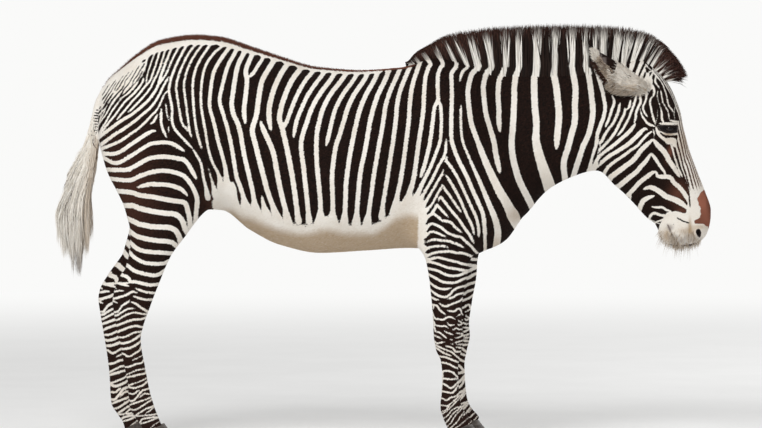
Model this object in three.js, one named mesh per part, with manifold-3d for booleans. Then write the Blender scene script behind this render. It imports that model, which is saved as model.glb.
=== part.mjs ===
// A Grevy's zebra, life size, standing square with its head a little lowered.
// Millimetres. +X runs from the tail to the nose, +Z is up and the animal's left side is +Y.
// The flesh is one smooth body, described by a few lofts that blend into each other,
// and it is parted into trunk, neck, head, ears and legs by thin cuts.

import * as THREE from 'three';
import { mergeVertices } from 'three/addons/utils/BufferGeometryUtils.js';
import Module from 'manifold-3d';

const wasm = await Module();
wasm.setup();

// ---------------------------------------------------------------- driving sizes

const GAP = 0.3;                 // clearance between parted pieces
const CROUP_HEIGHT = 1521;       // top of the rump
const BACK_HEIGHT = 1390;        // the dip behind the withers
const WITHERS_HEIGHT = 1412;
const CREST_HEIGHT = 1388;       // top of the neck, under the mane
const BELLY_HEIGHT = 703;        // lowest point of the belly
const BRISKET_HEIGHT = 695;      // lowest point of the chest
const BUTTOCK_X = -1062;         // rearmost flesh
const CHEST_X = 520;             // foremost point of the chest
const BELLY_HALF = 268;          // half of the greatest width, across the belly
const CROUP_HALF = 232;
const CHEST_HALF = 190;
const NECK_HALF = 104;
const HIND_TRACK = 118;          // from the middle plane to the middle of a hind hoof
const FORE_TRACK = 110;
const POLL = [979, 1396];        // x and z of the top of the head
const HEAD_LENGTH = 688;         // poll to lips
const HEAD_SLOPE = -73.5;        // degrees below the horizontal
const EYE_RADIUS = 21;
const EYE_ALONG = 241;           // from the poll towards the lips
const EYE_UP = 17;               // above the head's axis, towards the forehead
const EYE_OUT = 84;              // from the middle plane
const EAR_LENGTH = 238;
const EAR_WIDTH = 108;
const EAR_THICKNESS = 7;
const MANE_HEIGHT = 1568;        // tips of the upright mane
const MANE_HALF = 24;
const HOOF_SLOPE = 51;           // degrees, the wall at the toe
const HIND_HOOF = { length: 114, width: 92, toe: 76, heel: 40 };
const FORE_HOOF = { length: 120, width: 102, toe: 78, heel: 42 };

// ---------------------------------------------------------------- smooth lines and lofts

const rad = THREE.MathUtils.degToRad;

// A smooth line through a few knots [position, value], with no overshoot between them.
function line(...knots) {
  const n = knots.length;
  const slope = [];
  for (let i = 0; i < n - 1; i += 1) {
    slope.push((knots[i + 1][1] - knots[i][1]) / (knots[i + 1][0] - knots[i][0]));
  }
  const tangent = knots.map((knot, i) => {
    if (i === 0) return slope[0];
    if (i === n - 1) return slope[n - 2];
    const [before, after] = [slope[i - 1], slope[i]];
    return before * after <= 0 ? 0 : (2 * before * after) / (before + after);
  });
  return (at) => {
    if (at <= knots[0][0]) return knots[0][1];
    if (at >= knots[n - 1][0]) return knots[n - 1][1];
    let i = 0;
    while (at > knots[i + 1][0]) i += 1;
    const step = knots[i + 1][0] - knots[i][0];
    const t = (at - knots[i][0]) / step;
    const [a, b] = [knots[i][1], knots[i + 1][1]];
    const ease = t * t * (3 - 2 * t);
    const start = t * (1 - t) * (1 - t) * step * tangent[i];
    const finish = t * t * (t - 1) * step * tangent[i + 1];
    return a + (b - a) * ease + start + finish;
  };
}

const constant = (value) => () => value;

// A body part as a signed field, negative inside: sections stand across a straight run, each
// with its own high and low edge, half width, level of the widest place and squareness.
// along and up are directions in the middle plane, [x, z].
function loft(part) {
  const { origin = [0, 0], along = [1, 0], up = [0, 1], from, to, round } = part;
  const { high, low, half } = part;
  const { widest = constant(0.5), squareHigh = constant(2), squareLow = constant(2) } = part;
  const { out = constant(0) } = part;
  return (x, y, z, side = 1) => {
    const [dx, dz] = [x - origin[0], z - origin[1]];
    const run = dx * along[0] + dz * along[1];
    const rise = dx * up[0] + dz * up[1];
    const at = Math.min(Math.max(run, from), to);
    const [top, bottom] = [high(at), low(at)];
    const middle = bottom + (top - bottom) * widest(at);
    const above = rise > middle;
    const reach = above ? top - middle : middle - bottom;
    const power = above ? squareHigh(at) : squareLow(at);
    const width = half(at);
    const a = Math.abs(rise - middle) / reach;
    const b = Math.abs(y - side * out(at)) / width;
    const radius = (a ** power + b ** power) ** (1 / power) + 1e-9;
    const steep = Math.hypot(
      (a / radius) ** (power - 1) / reach,
      (b / radius) ** (power - 1) / width,
    );
    const section = (radius - 1) / steep;
    const end = Math.max(from - run, run - to);
    const [p, q] = [Math.max(section + round, 0), Math.max(end + round, 0)];
    return Math.hypot(p, q) - round + Math.min(Math.max(section, end), -round) + round;
  };
}

// Joins two fields with a fillet about `blend` wide.
function join(a, b, blend) {
  const near = Math.max(blend - Math.abs(a - b), 0) / blend;
  return Math.min(a, b) - (near * near * blend) / 4;
}

// ---------------------------------------------------------------- the body's outlines

const trunk = loft({
  from: BUTTOCK_X, to: CHEST_X, round: 45,
  high: line([BUTTOCK_X, 1300], [-1030, 1350], [-980, 1396], [-908, 1457], [-833, 1501],
    [-700, CROUP_HEIGHT], [-610, 1514], [-500, 1480], [-385, 1441], [-250, 1402],
    [-86, BACK_HEIGHT], [60, 1400], [176, WITHERS_HEIGHT], [280, 1385], [380, 1290],
    [460, 1160], [CHEST_X, 1020]),
  low: line([BUTTOCK_X, 1090], [-1000, 960], [-880, 890], [-700, 868], [-600, 862],
    [-497, 789], [-385, 733], [-235, BELLY_HEIGHT], [-60, 712], [100, 721], [230, 708],
    [330, BRISKET_HEIGHT], [400, 722], [460, 768], [CHEST_X, 870]),
  half: line([BUTTOCK_X, 70], [-1010, 156], [-900, 210], [-740, CROUP_HALF], [-560, 234],
    [-400, 254], [-220, BELLY_HALF], [-60, 260], [80, 230], [200, 205], [340, CHEST_HALF],
    [430, 168], [CHEST_X, 108]),
  widest: line([BUTTOCK_X, 0.45], [-700, 0.52], [-220, 0.47], [200, 0.45], [CHEST_X, 0.4]),
  squareHigh: line([BUTTOCK_X, 2], [-700, 2.15], [-300, 2.1], [0, 1.95], [170, 1.7], [CHEST_X, 1.8]),
  squareLow: line([BUTTOCK_X, 2], [-220, 2.15], [200, 2.1], [CHEST_X, 2.2]),
});

const neck = loft({
  from: 176, to: 985, round: 50,
  high: line([176, 1408], [300, 1394], [420, CREST_HEIGHT], [740, 1390], [880, 1402], [985, 1392]),
  low: line([176, 1040], [330, 860], [440, 800], [505, 842], [580, 914], [661, 966], [736, 998],
    [811, 1020], [880, 1065], [985, 1190]),
  half: line([176, 150], [330, 168], [480, 142], [620, 112], [760, NECK_HALF], [860, 88], [985, 70]),
  widest: line([176, 0.4], [480, 0.36], [760, 0.42], [985, 0.5]),
  squareHigh: line([176, 1.6], [500, 1.45], [985, 1.6]),
  squareLow: line([176, 2], [985, 2.1]),
});

const headAlong = [Math.cos(rad(HEAD_SLOPE)), Math.sin(rad(HEAD_SLOPE))];
const headUp = [-headAlong[1], headAlong[0]];

const skull = loft({
  origin: POLL, along: headAlong, up: headUp, from: -40, to: HEAD_LENGTH, round: 26,
  high: line([-40, 4], [30, 48], [74, 67], [129, 78], [185, 82], [263, 74], [330, 72.5],
    [421, 78], [513, 86], [560, 89], [600, 80], [640, 61], [668, 38], [HEAD_LENGTH, 8]),
  low: line([-40, -130], [60, -190], [180, -252], [280, -271], [325, -262], [380, -238],
    [421, -212], [473, -184], [541, -151], [568, -130], [600, -124], [635, -117],
    [664, -94], [HEAD_LENGTH, -42]),
  half: line([-40, 52], [40, 74], [130, 92], [200, 102], [263, 104], [320, 95], [380, 83],
    [440, 71], [500, 60], [560, 56], [610, 59], [650, 51], [HEAD_LENGTH, 34]),
  widest: line([-40, 0.6], [130, 0.7], [241, 0.77], [330, 0.72], [440, 0.6], [560, 0.5], [650, 0.52]),
  squareHigh: line([-40, 2], [185, 2.5], [300, 2.6], [440, 2.2], [600, 2.3], [HEAD_LENGTH, 2.3]),
  squareLow: line([-40, 2], [200, 2.3], [330, 2.6], [440, 2.1], [560, 2], [620, 2.4],
    [HEAD_LENGTH, 2.3]),
});

// How far the far-side legs stand from the near-side ones, by height.
const hindStagger = line([0, -84], [160, -82], [390, -68], [545, -66], [700, -36], [860, 0]);
const foreStagger = line([0, 28], [400, 28], [560, 44], [680, 34], [820, 0]);

function staggered(edge, stagger) {
  return (height) => edge(height) + stagger(height);
}

const hindFront = line([30, -794], [60, -818], [110, -840], [150, -854], [200, -868], [290, -885],
  [390, -901], [430, -893], [510, -865], [600, -830], [700, -785], [780, -726], [860, -672],
  [930, -640], [1060, -622], [1200, -640], [1330, -700]);
const hindRear = line([30, -888], [60, -897], [90, -916], [130, -941], [170, -946], [240, -954], [390, -984],
  [470, -998], [530, -1006], [560, -1002], [620, -980], [700, -947], [780, -941], [860, -957],
  [950, -990], [1060, -1032], [1160, -1046], [1240, -1030], [1330, -960]);
const hindHalf = line([60, 37], [95, 31], [140, 37], [190, 28], [290, 25], [390, 27], [440, 36],
  [530, 46], [610, 41], [700, 56], [780, 72], [860, 88], [960, 99], [1080, 105], [1200, 101],
  [1330, 74]);
const hindOut = line([60, HIND_TRACK], [500, HIND_TRACK], [780, 123], [1000, 127], [1330, 116]);

const foreFront = line([30, 370], [60, 346], [90, 328], [115, 306], [150, 290], [220, 282], [280, 280],
  [330, 288], [390, 300], [450, 294], [520, 295], [620, 313], [700, 328], [780, 362],
  [860, 420], [950, 448], [1050, 430], [1150, 380]);
const foreRear = line([30, 250], [60, 238], [90, 225], [135, 213], [190, 217], [260, 219], [310, 213],
  [350, 196], [400, 188], [480, 184], [600, 172], [680, 158], [750, 138], [820, 142],
  [950, 170], [1150, 230]);
const foreHalf = line([60, 40], [95, 32], [135, 36], [185, 27], [260, 24], [310, 28], [360, 41],
  [410, 47], [470, 43], [560, 47], [680, 60], [780, 69], [900, 75], [1020, 73], [1150, 60]);
const foreOut = line([60, FORE_TRACK], [400, 116], [700, 124], [900, 122], [1150, 114]);

function leg(top, front, rear, half, out, stagger, round) {
  return loft({
    along: [0, 1], up: [1, 0], from: 30, to: top, round,
    high: staggered(front, stagger), low: staggered(rear, stagger), half, out,
    widest: line([60, 0.55], [300, 0.62], [500, 0.56], [900, 0.5]),
    squareHigh: line([60, 2.2], [400, 2.3], [700, 2]),
    squareLow: line([60, 2.1], [300, 1.8], [400, 2.2], [700, 2]),
  });
}

const still = constant(0);
const legs = {
  hind_right: leg(1330, hindFront, hindRear, hindHalf, hindOut, still, 12),
  hind_left: leg(1330, hindFront, hindRear, hindHalf, hindOut, hindStagger, 12),
  fore_right: leg(1150, foreFront, foreRear, foreHalf, foreOut, still, 12),
  fore_left: leg(1150, foreFront, foreRear, foreHalf, foreOut, foreStagger, 12),
};

// The whole body. Right is -Y, and each side has its own fore and hind leg.
function body(x, y, z, side = y < 0 ? 'right' : 'left') {
  const sign = side === 'left' ? 1 : -1;
  let flesh = join(trunk(x, y, z), neck(x, y, z), 130);
  flesh = join(flesh, skull(x, y, z), 46);
  flesh = join(flesh, legs[`hind_${side}`](x, y, z, sign), 90);
  return join(flesh, legs[`fore_${side}`](x, y, z, sign), 80);
}

// ---------------------------------------------------------------- from fields to solids

function solidFrom(geometry) {
  geometry.deleteAttribute('normal');
  geometry.deleteAttribute('uv');
  const merged = mergeVertices(geometry, 1e-4);
  return new wasm.Manifold(new wasm.Mesh({
    numProp: 3,
    vertProperties: new Float32Array(merged.attributes.position.array),
    triVerts: new Uint32Array(merged.index.array),
  }));
}

// The edges of a cell, by axis and by place in the two axes that follow it, and for each face
// its four edges with, for each corner, the two edges that meet there.
const edgeKey = (axis, u, v) => axis * 4 + u * 2 + v;
const cellFaces = [0, 1, 2].flatMap((a) => [0, 1].map((s) => {
  const [b, c] = [(a + 1) % 3, (a + 2) % 3];
  const corners = [[0, 0], [0, 1], [1, 0], [1, 1]].map(([ub, uc]) => {
    const corner = [0, 0, 0];
    [corner[a], corner[b], corner[c]] = [s, ub, uc];
    return { corner, edges: [edgeKey(b, uc, s), edgeKey(c, s, ub)] };
  });
  return { corners, edges: [...new Set(corners.flatMap((one) => one.edges))] };
}));

// Meshes a field inside a grid. Each patch of surface in a cell gets one vertex, which is then
// moved along the field's slope onto the surface.
function skinOf(field, low, cell, count) {
  const [nx, ny, nz] = count;
  const at = (i, j, k) => (i * (ny + 1) + j) * (nz + 1) + k;
  const point = (i, j, k) => [low[0] + i * cell[0], low[1] + j * cell[1], low[2] + k * cell[2]];
  const value = new Float64Array((nx + 1) * (ny + 1) * (nz + 1));
  for (let i = 0; i <= nx; i += 1) {
    for (let j = 0; j <= ny; j += 1) {
      for (let k = 0; k <= nz; k += 1) value[at(i, j, k)] = field(...point(i, j, k));
    }
  }
  const positions = [];
  const patches = new Map();
  const patchesOf = (i, j, k) => {
    const crossing = new Map();
    for (let axis = 0; axis < 3; axis += 1) {
      for (const [u, v] of [[0, 0], [0, 1], [1, 0], [1, 1]]) {
        const start = [0, 0, 0];
        [start[(axis + 1) % 3], start[(axis + 2) % 3]] = [u, v];
        const finish = [...start];
        finish[axis] = 1;
        const va = value[at(i + start[0], j + start[1], k + start[2])];
        const vb = value[at(i + finish[0], j + finish[1], k + finish[2])];
        if ((va < 0) === (vb < 0)) continue;
        start[axis] = va / (va - vb);
        crossing.set(edgeKey(axis, u, v), start);
      }
    }
    const group = new Map([...crossing.keys()].map((key) => [key, key]));
    const merge = (p, q) => {
      const [from, to] = [group.get(p), group.get(q)];
      for (const [key, owner] of group) if (owner === from) group.set(key, to);
    };
    for (const face of cellFaces) {
      const cut = face.edges.filter((key) => crossing.has(key));
      if (cut.length === 2) merge(...cut);
      if (cut.length < 4) continue;
      for (const { corner, edges } of face.corners) {
        if (value[at(i + corner[0], j + corner[1], k + corner[2])] < 0) merge(...edges);
      }
    }
    const base = point(i, j, k);
    const vertexOf = new Map();
    for (const owner of new Set(group.values())) {
      const members = [...group.keys()].filter((key) => group.get(key) === owner);
      const p = [0, 1, 2].map((m) => {
        const sum = members.reduce((total, key) => total + crossing.get(key)[m], 0);
        return base[m] + (cell[m] * sum) / members.length;
      });
      settle(field, p);
      for (const key of members) vertexOf.set(key, positions.length / 3);
      positions.push(...p);
    }
    return vertexOf;
  };
  const vertexAt = (place, edge) => {
    const key = at(...place);
    if (!patches.has(key)) patches.set(key, patchesOf(...place));
    return patches.get(key).get(edge);
  };
  const triangles = [];
  for (let i = 0; i < nx; i += 1) {
    for (let j = 0; j < ny; j += 1) {
      for (let k = 0; k < nz; k += 1) {
        const inside = value[at(i, j, k)] < 0;
        for (let axis = 0; axis < 3; axis += 1) {
          const next = [i, j, k];
          if (next[(axis + 1) % 3] === 0 || next[(axis + 2) % 3] === 0) continue;
          next[axis] += 1;
          if (inside === value[at(...next)] < 0) continue;
          const ids = [[1, 1], [0, 1], [0, 0], [1, 0]].map(([u, v]) => {
            const place = [i, j, k];
            place[(axis + 1) % 3] -= u;
            place[(axis + 2) % 3] -= v;
            return vertexAt(place, edgeKey(axis, u, v));
          });
          if (!inside) ids.reverse();
          const [a, b, c, d] = ids;
          if (distance(positions, a, c) < distance(positions, b, d)) triangles.push(a, b, c, a, c, d);
          else triangles.push(b, c, d, b, d, a);
        }
      }
    }
  }
  const geometry = new THREE.BufferGeometry();
  geometry.setAttribute('position', new THREE.Float32BufferAttribute(positions, 3));
  geometry.setIndex(triangles);
  return geometry;
}

function distance(positions, a, b) {
  return Math.hypot(...[0, 1, 2].map((m) => positions[3 * a + m] - positions[3 * b + m]));
}

// Moves a point onto the field's zero surface in a few short steps.
function settle(field, p) {
  const probe = 0.5;
  for (let step = 0; step < 3; step += 1) {
    const here = field(...p);
    const slope = [0, 1, 2].map((m) => {
      const q = [...p];
      q[m] += probe;
      return (field(...q) - here) / probe;
    });
    const steep = slope[0] ** 2 + slope[1] ** 2 + slope[2] ** 2;
    const move = Math.min(Math.max(here / steep, -12), 12);
    for (let m = 0; m < 3; m += 1) p[m] -= move * slope[m];
  }
}

// Meshes a field between two corners with cells of about the given size. What runs on past the
// box is closed half a cell inside it.
function grid(field, low, high, size) {
  const count = [0, 1, 2].map((m) => Math.round((high[m] - low[m]) / size[m]));
  const cell = [0, 1, 2].map((m) => (high[m] - low[m]) / count[m]);
  const boxed = (...p) => p.reduce(
    (most, v, m) => Math.max(most, low[m] + cell[m] / 2 - v, v - high[m] + cell[m] / 2),
    field(...p),
  );
  return solidFrom(skinOf(boxed, low, cell, count));
}

// A convex outline in the x-z plane, carried from y0 to y1, with every face moved out by grow.
function wedge(outline, y0, y1, grow = 0) {
  const points = outline.map(([x, z]) => new THREE.Vector2(x, z));
  if (THREE.ShapeUtils.area(points) < 0) points.reverse();
  const n = points.length;
  const moved = points.map((p, i) => {
    const before = p.clone().sub(points[(i + n - 1) % n]).normalize();
    const after = points[(i + 1) % n].clone().sub(p).normalize();
    const normals = [before, after].map((edge) => new THREE.Vector2(edge.y, -edge.x));
    const bisector = normals[0].clone().add(normals[1]);
    return p.clone().addScaledVector(bisector, grow / (1 + normals[0].dot(normals[1])));
  });
  const depth = y1 - y0 + 2 * grow;
  const geometry = new THREE.ExtrudeGeometry(new THREE.Shape(moved), { depth, bevelEnabled: false });
  geometry.rotateX(Math.PI / 2);
  geometry.translate(0, y1 + grow, 0);
  return solidFrom(geometry);
}

// A closed solid from rings of points. Each end is filled with strips between the first and the
// last half of its ring.
function ringSolid(rings) {
  const size = rings[0].length;
  const positions = rings.flat().flatMap((p) => [p.x, p.y, p.z]);
  const triangles = [];
  for (let r = 0; r < rings.length - 1; r += 1) {
    for (let i = 0; i < size; i += 1) {
      const [a, b] = [r * size + i, r * size + ((i + 1) % size)];
      triangles.push(a, b, b + size, a, b + size, a + size);
    }
  }
  const lid = (rings.length - 1) * size;
  for (let i = 0; i < size / 2 - 1; i += 1) {
    const [a, b, c, d] = [i, i + 1, size - 2 - i, size - 1 - i];
    triangles.push(b, a, c, c, a, d);
    triangles.push(lid + a, lid + b, lid + c, lid + a, lid + c, lid + d);
  }
  const geometry = new THREE.BufferGeometry();
  geometry.setAttribute('position', new THREE.Float32BufferAttribute(positions, 3));
  geometry.setIndex(triangles);
  return solidFrom(geometry);
}

// Leaves out any crumb that a cut has parted from the piece.
function largest(solid) {
  return solid.decompose().reduce((big, one) => (one.volume() > big.volume() ? one : big));
}

function ring(count, place) {
  return Array.from({ length: count }, (unused, i) => place((i / count) * 2 * Math.PI));
}

// ---------------------------------------------------------------- where the body is parted

const FAR = 3000;
const neckCut = [[205, 1440], [515, 820]];        // withers to the front of the chest
const headCut = [[925, 1440], [800, 1000]];       // behind the ears to the throat
const hindRegion = [[-600, 890], [-1120, 1120], [-1300, 0], [-300, 0]];
const foreRegion = [[104, 790], [104, 40], [470, 40], [405, 790]];
const FORE_INNER = 48;

// The half of space on the nose side of a cut line.
function ahead([[x0, z0], [x1, z1]], grow) {
  const outline = [[x0, z0], [x1, z1], [x1 + FAR, z1 - FAR], [x0 + FAR, z0 + FAR]];
  const [dx, dz] = [(x0 - x1) * 2, (z0 - z1) * 2];
  outline[0] = [x0 + dx, z0 + dz];
  outline[1] = [x1 - dx, z1 - dz];
  return wedge(outline, -FAR / 2, FAR / 2, grow);
}

function sideWedge(outline, side, inner, grow = 0) {
  return side === 'left' ? wedge(outline, inner, 700, grow) : wedge(outline, -700, -inner, grow);
}

const sides = ['left', 'right'];

// How coarse the faces of each part are.
const TRUNK_CELL = [73, 69, 73];
const NECK_CELL = [66, 55, 66];
const HEAD_CELL = [36, 30, 36];
const LEG_CELL = [25.5, 24.5, 68];
const HOOF_SIDES = 20;
const TAIL_SIDES = 12;

// ---------------------------------------------------------------- hooves

// The hoof is an oval cone standing on a flat sole, longer than wide, with a sloping coronet.
// The coronet's ends are [x, z] at the toe and at the heel.
const HOOF_TAPER = 0.16;
const HOOF_TOE_X = { hind: -754, fore: 388 };

function coronet({ length, toe, heel }, toeX) {
  const inward = (length / 2) * HOOF_TAPER;
  const lean = (toe / Math.tan(rad(HOOF_SLOPE)) - inward) / toe;
  return [[toeX - inward - toe * lean, toe], [toeX - length + inward - heel * lean, heel]];
}

function hoof(size, toeX, trackY) {
  const [front, back] = coronet(size, toeX);
  const ringAt = (share) => ring(HOOF_SIDES, (angle) => {
    const forward = (Math.cos(angle) + 1) / 2;
    const sole = toeX - size.length * (1 - forward);
    const rim = back[0] + (front[0] - back[0]) * forward;
    const broad = (size.width / 2) * (1 - HOOF_TAPER * share) * (1 - 0.08 * (1 - forward));
    return new THREE.Vector3(
      sole + (rim - sole) * share,
      trackY + broad * Math.sin(angle),
      share * (back[1] + (front[1] - back[1]) * forward),
    );
  });
  return ringSolid([0, 1].map(ringAt));
}

// The space over a coronet, which the pastern fills.
function aboveCoronet(size, toeX) {
  const [front, back] = coronet(size, toeX);
  const rise = (front[1] - back[1]) / (front[0] - back[0]);
  const level = (x) => front[1] + (x - front[0]) * rise + GAP;
  const [x0, x1] = [toeX - 360, toeX + 160];
  return wedge([[x0, level(x0)], [x1, level(x1)], [x1, FAR], [x0, FAR]], -FAR / 2, FAR / 2);
}

// ---------------------------------------------------------------- ears, eyes, mane and tail

// The ears are laid back, their hollows turned down and in. Each is a cupped leaf: a tube at the
// root that opens along its length. Rings of the outer and the inner wall run round it.
const EAR_ROOT = [960, 74, 1325];
const EAR_ROOT_DEPTH = 22;       // the root's wall behind the root point
const EAR_AIM = new THREE.Vector3(-0.81, 0.28, 0.51).normalize();
const EAR_BACK = new THREE.Vector3(0.2, 0.72, 0.66);
const earHalf = line([0, 30], [50, 47], [105, EAR_WIDTH / 2], [165, 48], [212, 30], [EAR_LENGTH, 7]);
const earWrap = line([0, 140], [60, 120], [130, 88], [200, 62], [EAR_LENGTH, 50]);

function ear(side, grow = 0) {
  const mirror = side === 'left' ? 1 : -1;
  const aim = EAR_AIM.clone();
  const back = EAR_BACK.clone().addScaledVector(aim, -EAR_BACK.dot(aim)).normalize();
  const across = new THREE.Vector3().crossVectors(aim, back);
  const stations = [-grow, 34, 72, 112, 152, 190, 216, EAR_LENGTH + grow];
  const rings = stations.map((along) => {
    const wrap = rad(earWrap(along));
    const radius = earHalf(along) / Math.sin(Math.min(wrap, Math.PI / 2));
    const wall = (angle, distance) => new THREE.Vector3(...EAR_ROOT)
      .addScaledVector(aim, along)
      .addScaledVector(across, Math.sin(angle) * distance)
      .addScaledVector(back, Math.cos(angle) * distance - radius + EAR_ROOT_DEPTH);
    const open = grow / radius;
    const steps = [-1, -0.6, -0.2, 0.2, 0.6, 1];
    const outer = steps.map((t) => wall(t * (wrap + open), radius + grow));
    const inner = steps.map((t) => wall(-t * (wrap + open), radius - EAR_THICKNESS - grow));
    return [...outer, ...inner].map((p) => p.setY(p.y * mirror));
  });
  return ringSolid(mirror > 0 ? rings : rings.map((one) => [...one].reverse()));
}

const eyeCentre = [
  POLL[0] + EYE_ALONG * headAlong[0] + EYE_UP * headUp[0],
  POLL[1] + EYE_ALONG * headAlong[1] + EYE_UP * headUp[1],
];

function eye(side, grow = 0) {
  const ball = new THREE.SphereGeometry(EYE_RADIUS + grow, 12, 6);
  ball.translate(eyeCentre[0], side === 'left' ? EYE_OUT : -EYE_OUT, eyeCentre[1]);
  return solidFrom(ball);
}

// Upright hair: a long plate from the withers over the crest to the forelock.
// maneSpan is half of its thickness.
const maneTip = line([94, 1420], [125, 1457], [165, 1482], [213, 1512], [269, 1534],
  [340, 1548], [437, 1560], [624, MANE_HEIGHT], [811, 1566], [886, 1560], [942, 1549],
  [990, 1533], [1030, 1507], [1073, 1467], [1110, 1423], [1144, 1372]);
const maneRoot = line([94, 1392], [176, 1396], [420, CREST_HEIGHT - 14], [740, 1376],
  [900, 1386], [980, 1378], [1040, 1360], [1090, 1346], [1144, 1352]);
const maneSpan = line([94, 8], [150, 17], [300, MANE_HALF], [900, 26], [1060, 30], [1144, 16]);

function mane(grow = 0) {
  const stations = [94, 125, 165, 213, 275, 340, 437, 690, 850, 942, 990, 1030, 1073, 1144];
  const rings = stations.map((x, i) => {
    const end = i === 0 ? -grow : (i === stations.length - 1 ? grow : 0);
    const [root, tip, half] = [maneRoot(x) - grow, maneTip(x) + grow, maneSpan(x) + grow];
    const profile = [[0, -0.8], [0, 0.8], [0.2, 1], [0.72, 0.8], [1, 0.3], [1, -0.3],
      [0.72, -0.8], [0.2, -1]];
    return profile.map(([rise, span]) => new THREE.Vector3(
      x + end,
      span * half,
      root + rise * (tip - root),
    ));
  });
  return ringSolid(rings);
}

// The tail hangs from the croup, with a slender dock and a long brush of hair.
const tailRear = line([594, -1156], [660, -1181], [740, -1212], [830, -1226], [940, -1196],
  [1020, -1163], [1100, -1125], [1180, -1099], [1260, -1081], [1322, -1052]);
const tailFront = line([594, -1134], [620, -1117], [660, -1099], [700, -1087], [760, -1081],
  [900, -1091], [1020, -1075], [1100, -1063], [1180, -1058], [1260, -1046], [1322, -1004]);
const tailSpan = line([594, 9], [650, 32], [740, 49], [850, 52], [1000, 38], [1100, 24],
  [1200, 19], [1322, 23]);
const BRUSH_TOP = 1076;

function tail(heights, grow = 0) {
  const rings = heights.map((z, i) => {
    const end = i === 0 ? grow : (i === heights.length - 1 ? -grow : 0);
    const [rear, front] = [tailRear(z) - grow, tailFront(z) + grow];
    return ring(TAIL_SIDES, (angle) => new THREE.Vector3(
      (rear + front) / 2 + ((front - rear) / 2) * Math.cos(angle),
      -(tailSpan(z) + grow) * Math.sin(angle),
      z + end,
    ));
  });
  return ringSolid(rings);
}

const dockHeights = [1322, 1290, 1250, 1200, 1140, BRUSH_TOP + GAP];
const brushHeights = [BRUSH_TOP, 1020, 950, 880, 810, 740, 690, 640, 594];

// ---------------------------------------------------------------- building the nodes

const nodes = {};
const colours = {};

function addNode(name, solid, colour, roughness) {
  nodes[name] = solid;
  colours[name] = { color: colour, roughness, metalness: 0 };
}

const COAT = 0x9b948c;
const HORN = 0x3a332f;

function clearOfTail(solid) {
  return solid.subtract(tail(dockHeights, GAP)).subtract(tail(brushHeights, GAP));
}

function trunkNode() {
  let solid = grid(body, [-1120, -330, 640], [620, 330, 1580], TRUNK_CELL);
  solid = solid.subtract(ahead(neckCut, GAP));
  for (const side of sides) {
    solid = solid.subtract(sideWedge(hindRegion, side, 0, GAP / 2));
    solid = solid.subtract(sideWedge(foreRegion, side, FORE_INNER, GAP));
  }
  return clearOfTail(solid).subtract(mane(GAP));
}

function neckNode() {
  let solid = grid(body, [110, -240, 740], [1040, 240, 1490], NECK_CELL);
  solid = solid.intersect(ahead(neckCut, 0)).subtract(ahead(headCut, GAP)).subtract(mane(GAP));
  for (const side of sides) solid = solid.subtract(ear(side, 2 * GAP));
  return largest(solid);
}

function headNode() {
  let solid = grid(body, [730, -132, 660], [1260, 132, 1470], HEAD_CELL);
  solid = solid.intersect(ahead(headCut, 0)).subtract(mane(GAP));
  for (const side of sides) solid = solid.subtract(eye(side, GAP)).subtract(ear(side, 2 * GAP));
  return largest(solid);
}

function legNode(end, side) {
  const [low, high, size] = end === 'hind'
    ? [[-1130, -48, 0], [-570, 264, 1180], HIND_HOOF]
    : [[60, 0, 0], [500, 240, 840], FORE_HOOF];
  const box = side === 'left'
    ? [low, high]
    : [[low[0], -high[1], low[2]], [high[0], -low[1], high[2]]];
  const stagger = end === 'hind' ? hindStagger(0) : foreStagger(0);
  const toeX = HOOF_TOE_X[end] + (side === 'left' ? stagger : 0);
  const region = end === 'hind'
    ? sideWedge(hindRegion, side, GAP / 2)
    : sideWedge(foreRegion, side, FORE_INNER);
  const flesh = (x, y, z) => body(x, y, z, side);
  const solid = grid(flesh, ...box, LEG_CELL).intersect(region);
  return clearOfTail(solid).intersect(aboveCoronet(size, toeX));
}

addNode('trunk', trunkNode(), COAT, 0.8);
addNode('neck', neckNode(), COAT, 0.8);
addNode('head', headNode(), COAT, 0.8);
addNode('mane', mane(), 0x5c544e, 0.9);
addNode('tail', tail(dockHeights), 0xd9d3c8, 0.8);
addNode('tail_brush', tail(brushHeights), 0xcfc9be, 0.9);
for (const side of sides) {
  addNode(`ear_${side}`, ear(side), 0xb5aa98, 0.85);
  addNode(`eye_${side}`, eye(side), 0x14100e, 0.08);
  for (const [end, size, track] of [['hind', HIND_HOOF, HIND_TRACK], ['fore', FORE_HOOF, FORE_TRACK]]) {
    const stagger = end === 'hind' ? hindStagger(0) : foreStagger(0);
    const toeX = HOOF_TOE_X[end] + (side === 'left' ? stagger : 0);
    const trackY = side === 'left' ? track : -track;
    addNode(`${end}leg_${side}`, legNode(end, side), COAT, 0.8);
    addNode(`hoof_${end}_${side}`, hoof(size, toeX, trackY), HORN, 0.6);
  }
}

const zebra = new THREE.Group();
for (const [name, solid] of Object.entries(nodes)) {
  const mesh = solid.getMesh();
  const geometry = new THREE.BufferGeometry();
  geometry.setAttribute('position', new THREE.BufferAttribute(mesh.vertProperties, 3));
  geometry.setIndex(new THREE.BufferAttribute(mesh.triVerts, 1));
  const part = new THREE.Mesh(geometry, new THREE.MeshStandardMaterial(colours[name]));
  part.name = name;
  zebra.add(part);
}

export default zebra;
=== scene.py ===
"""A Grevy's zebra as a still, life-size model: its skin, coat, mane, tail, hooves and eyes.

Lengths in this script are millimetres until a mesh is made, which is in metres. +X runs from the
tail to the nose, +Z is up and the animal's left side is +Y. The flesh repeats the frame's lofts,
so the skin follows the same outlines, one coat's depth further in.
"""

import math

import bpy
import numpy as np
import openvdb
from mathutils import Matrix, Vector
from mathutils.kdtree import KDTree


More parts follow.
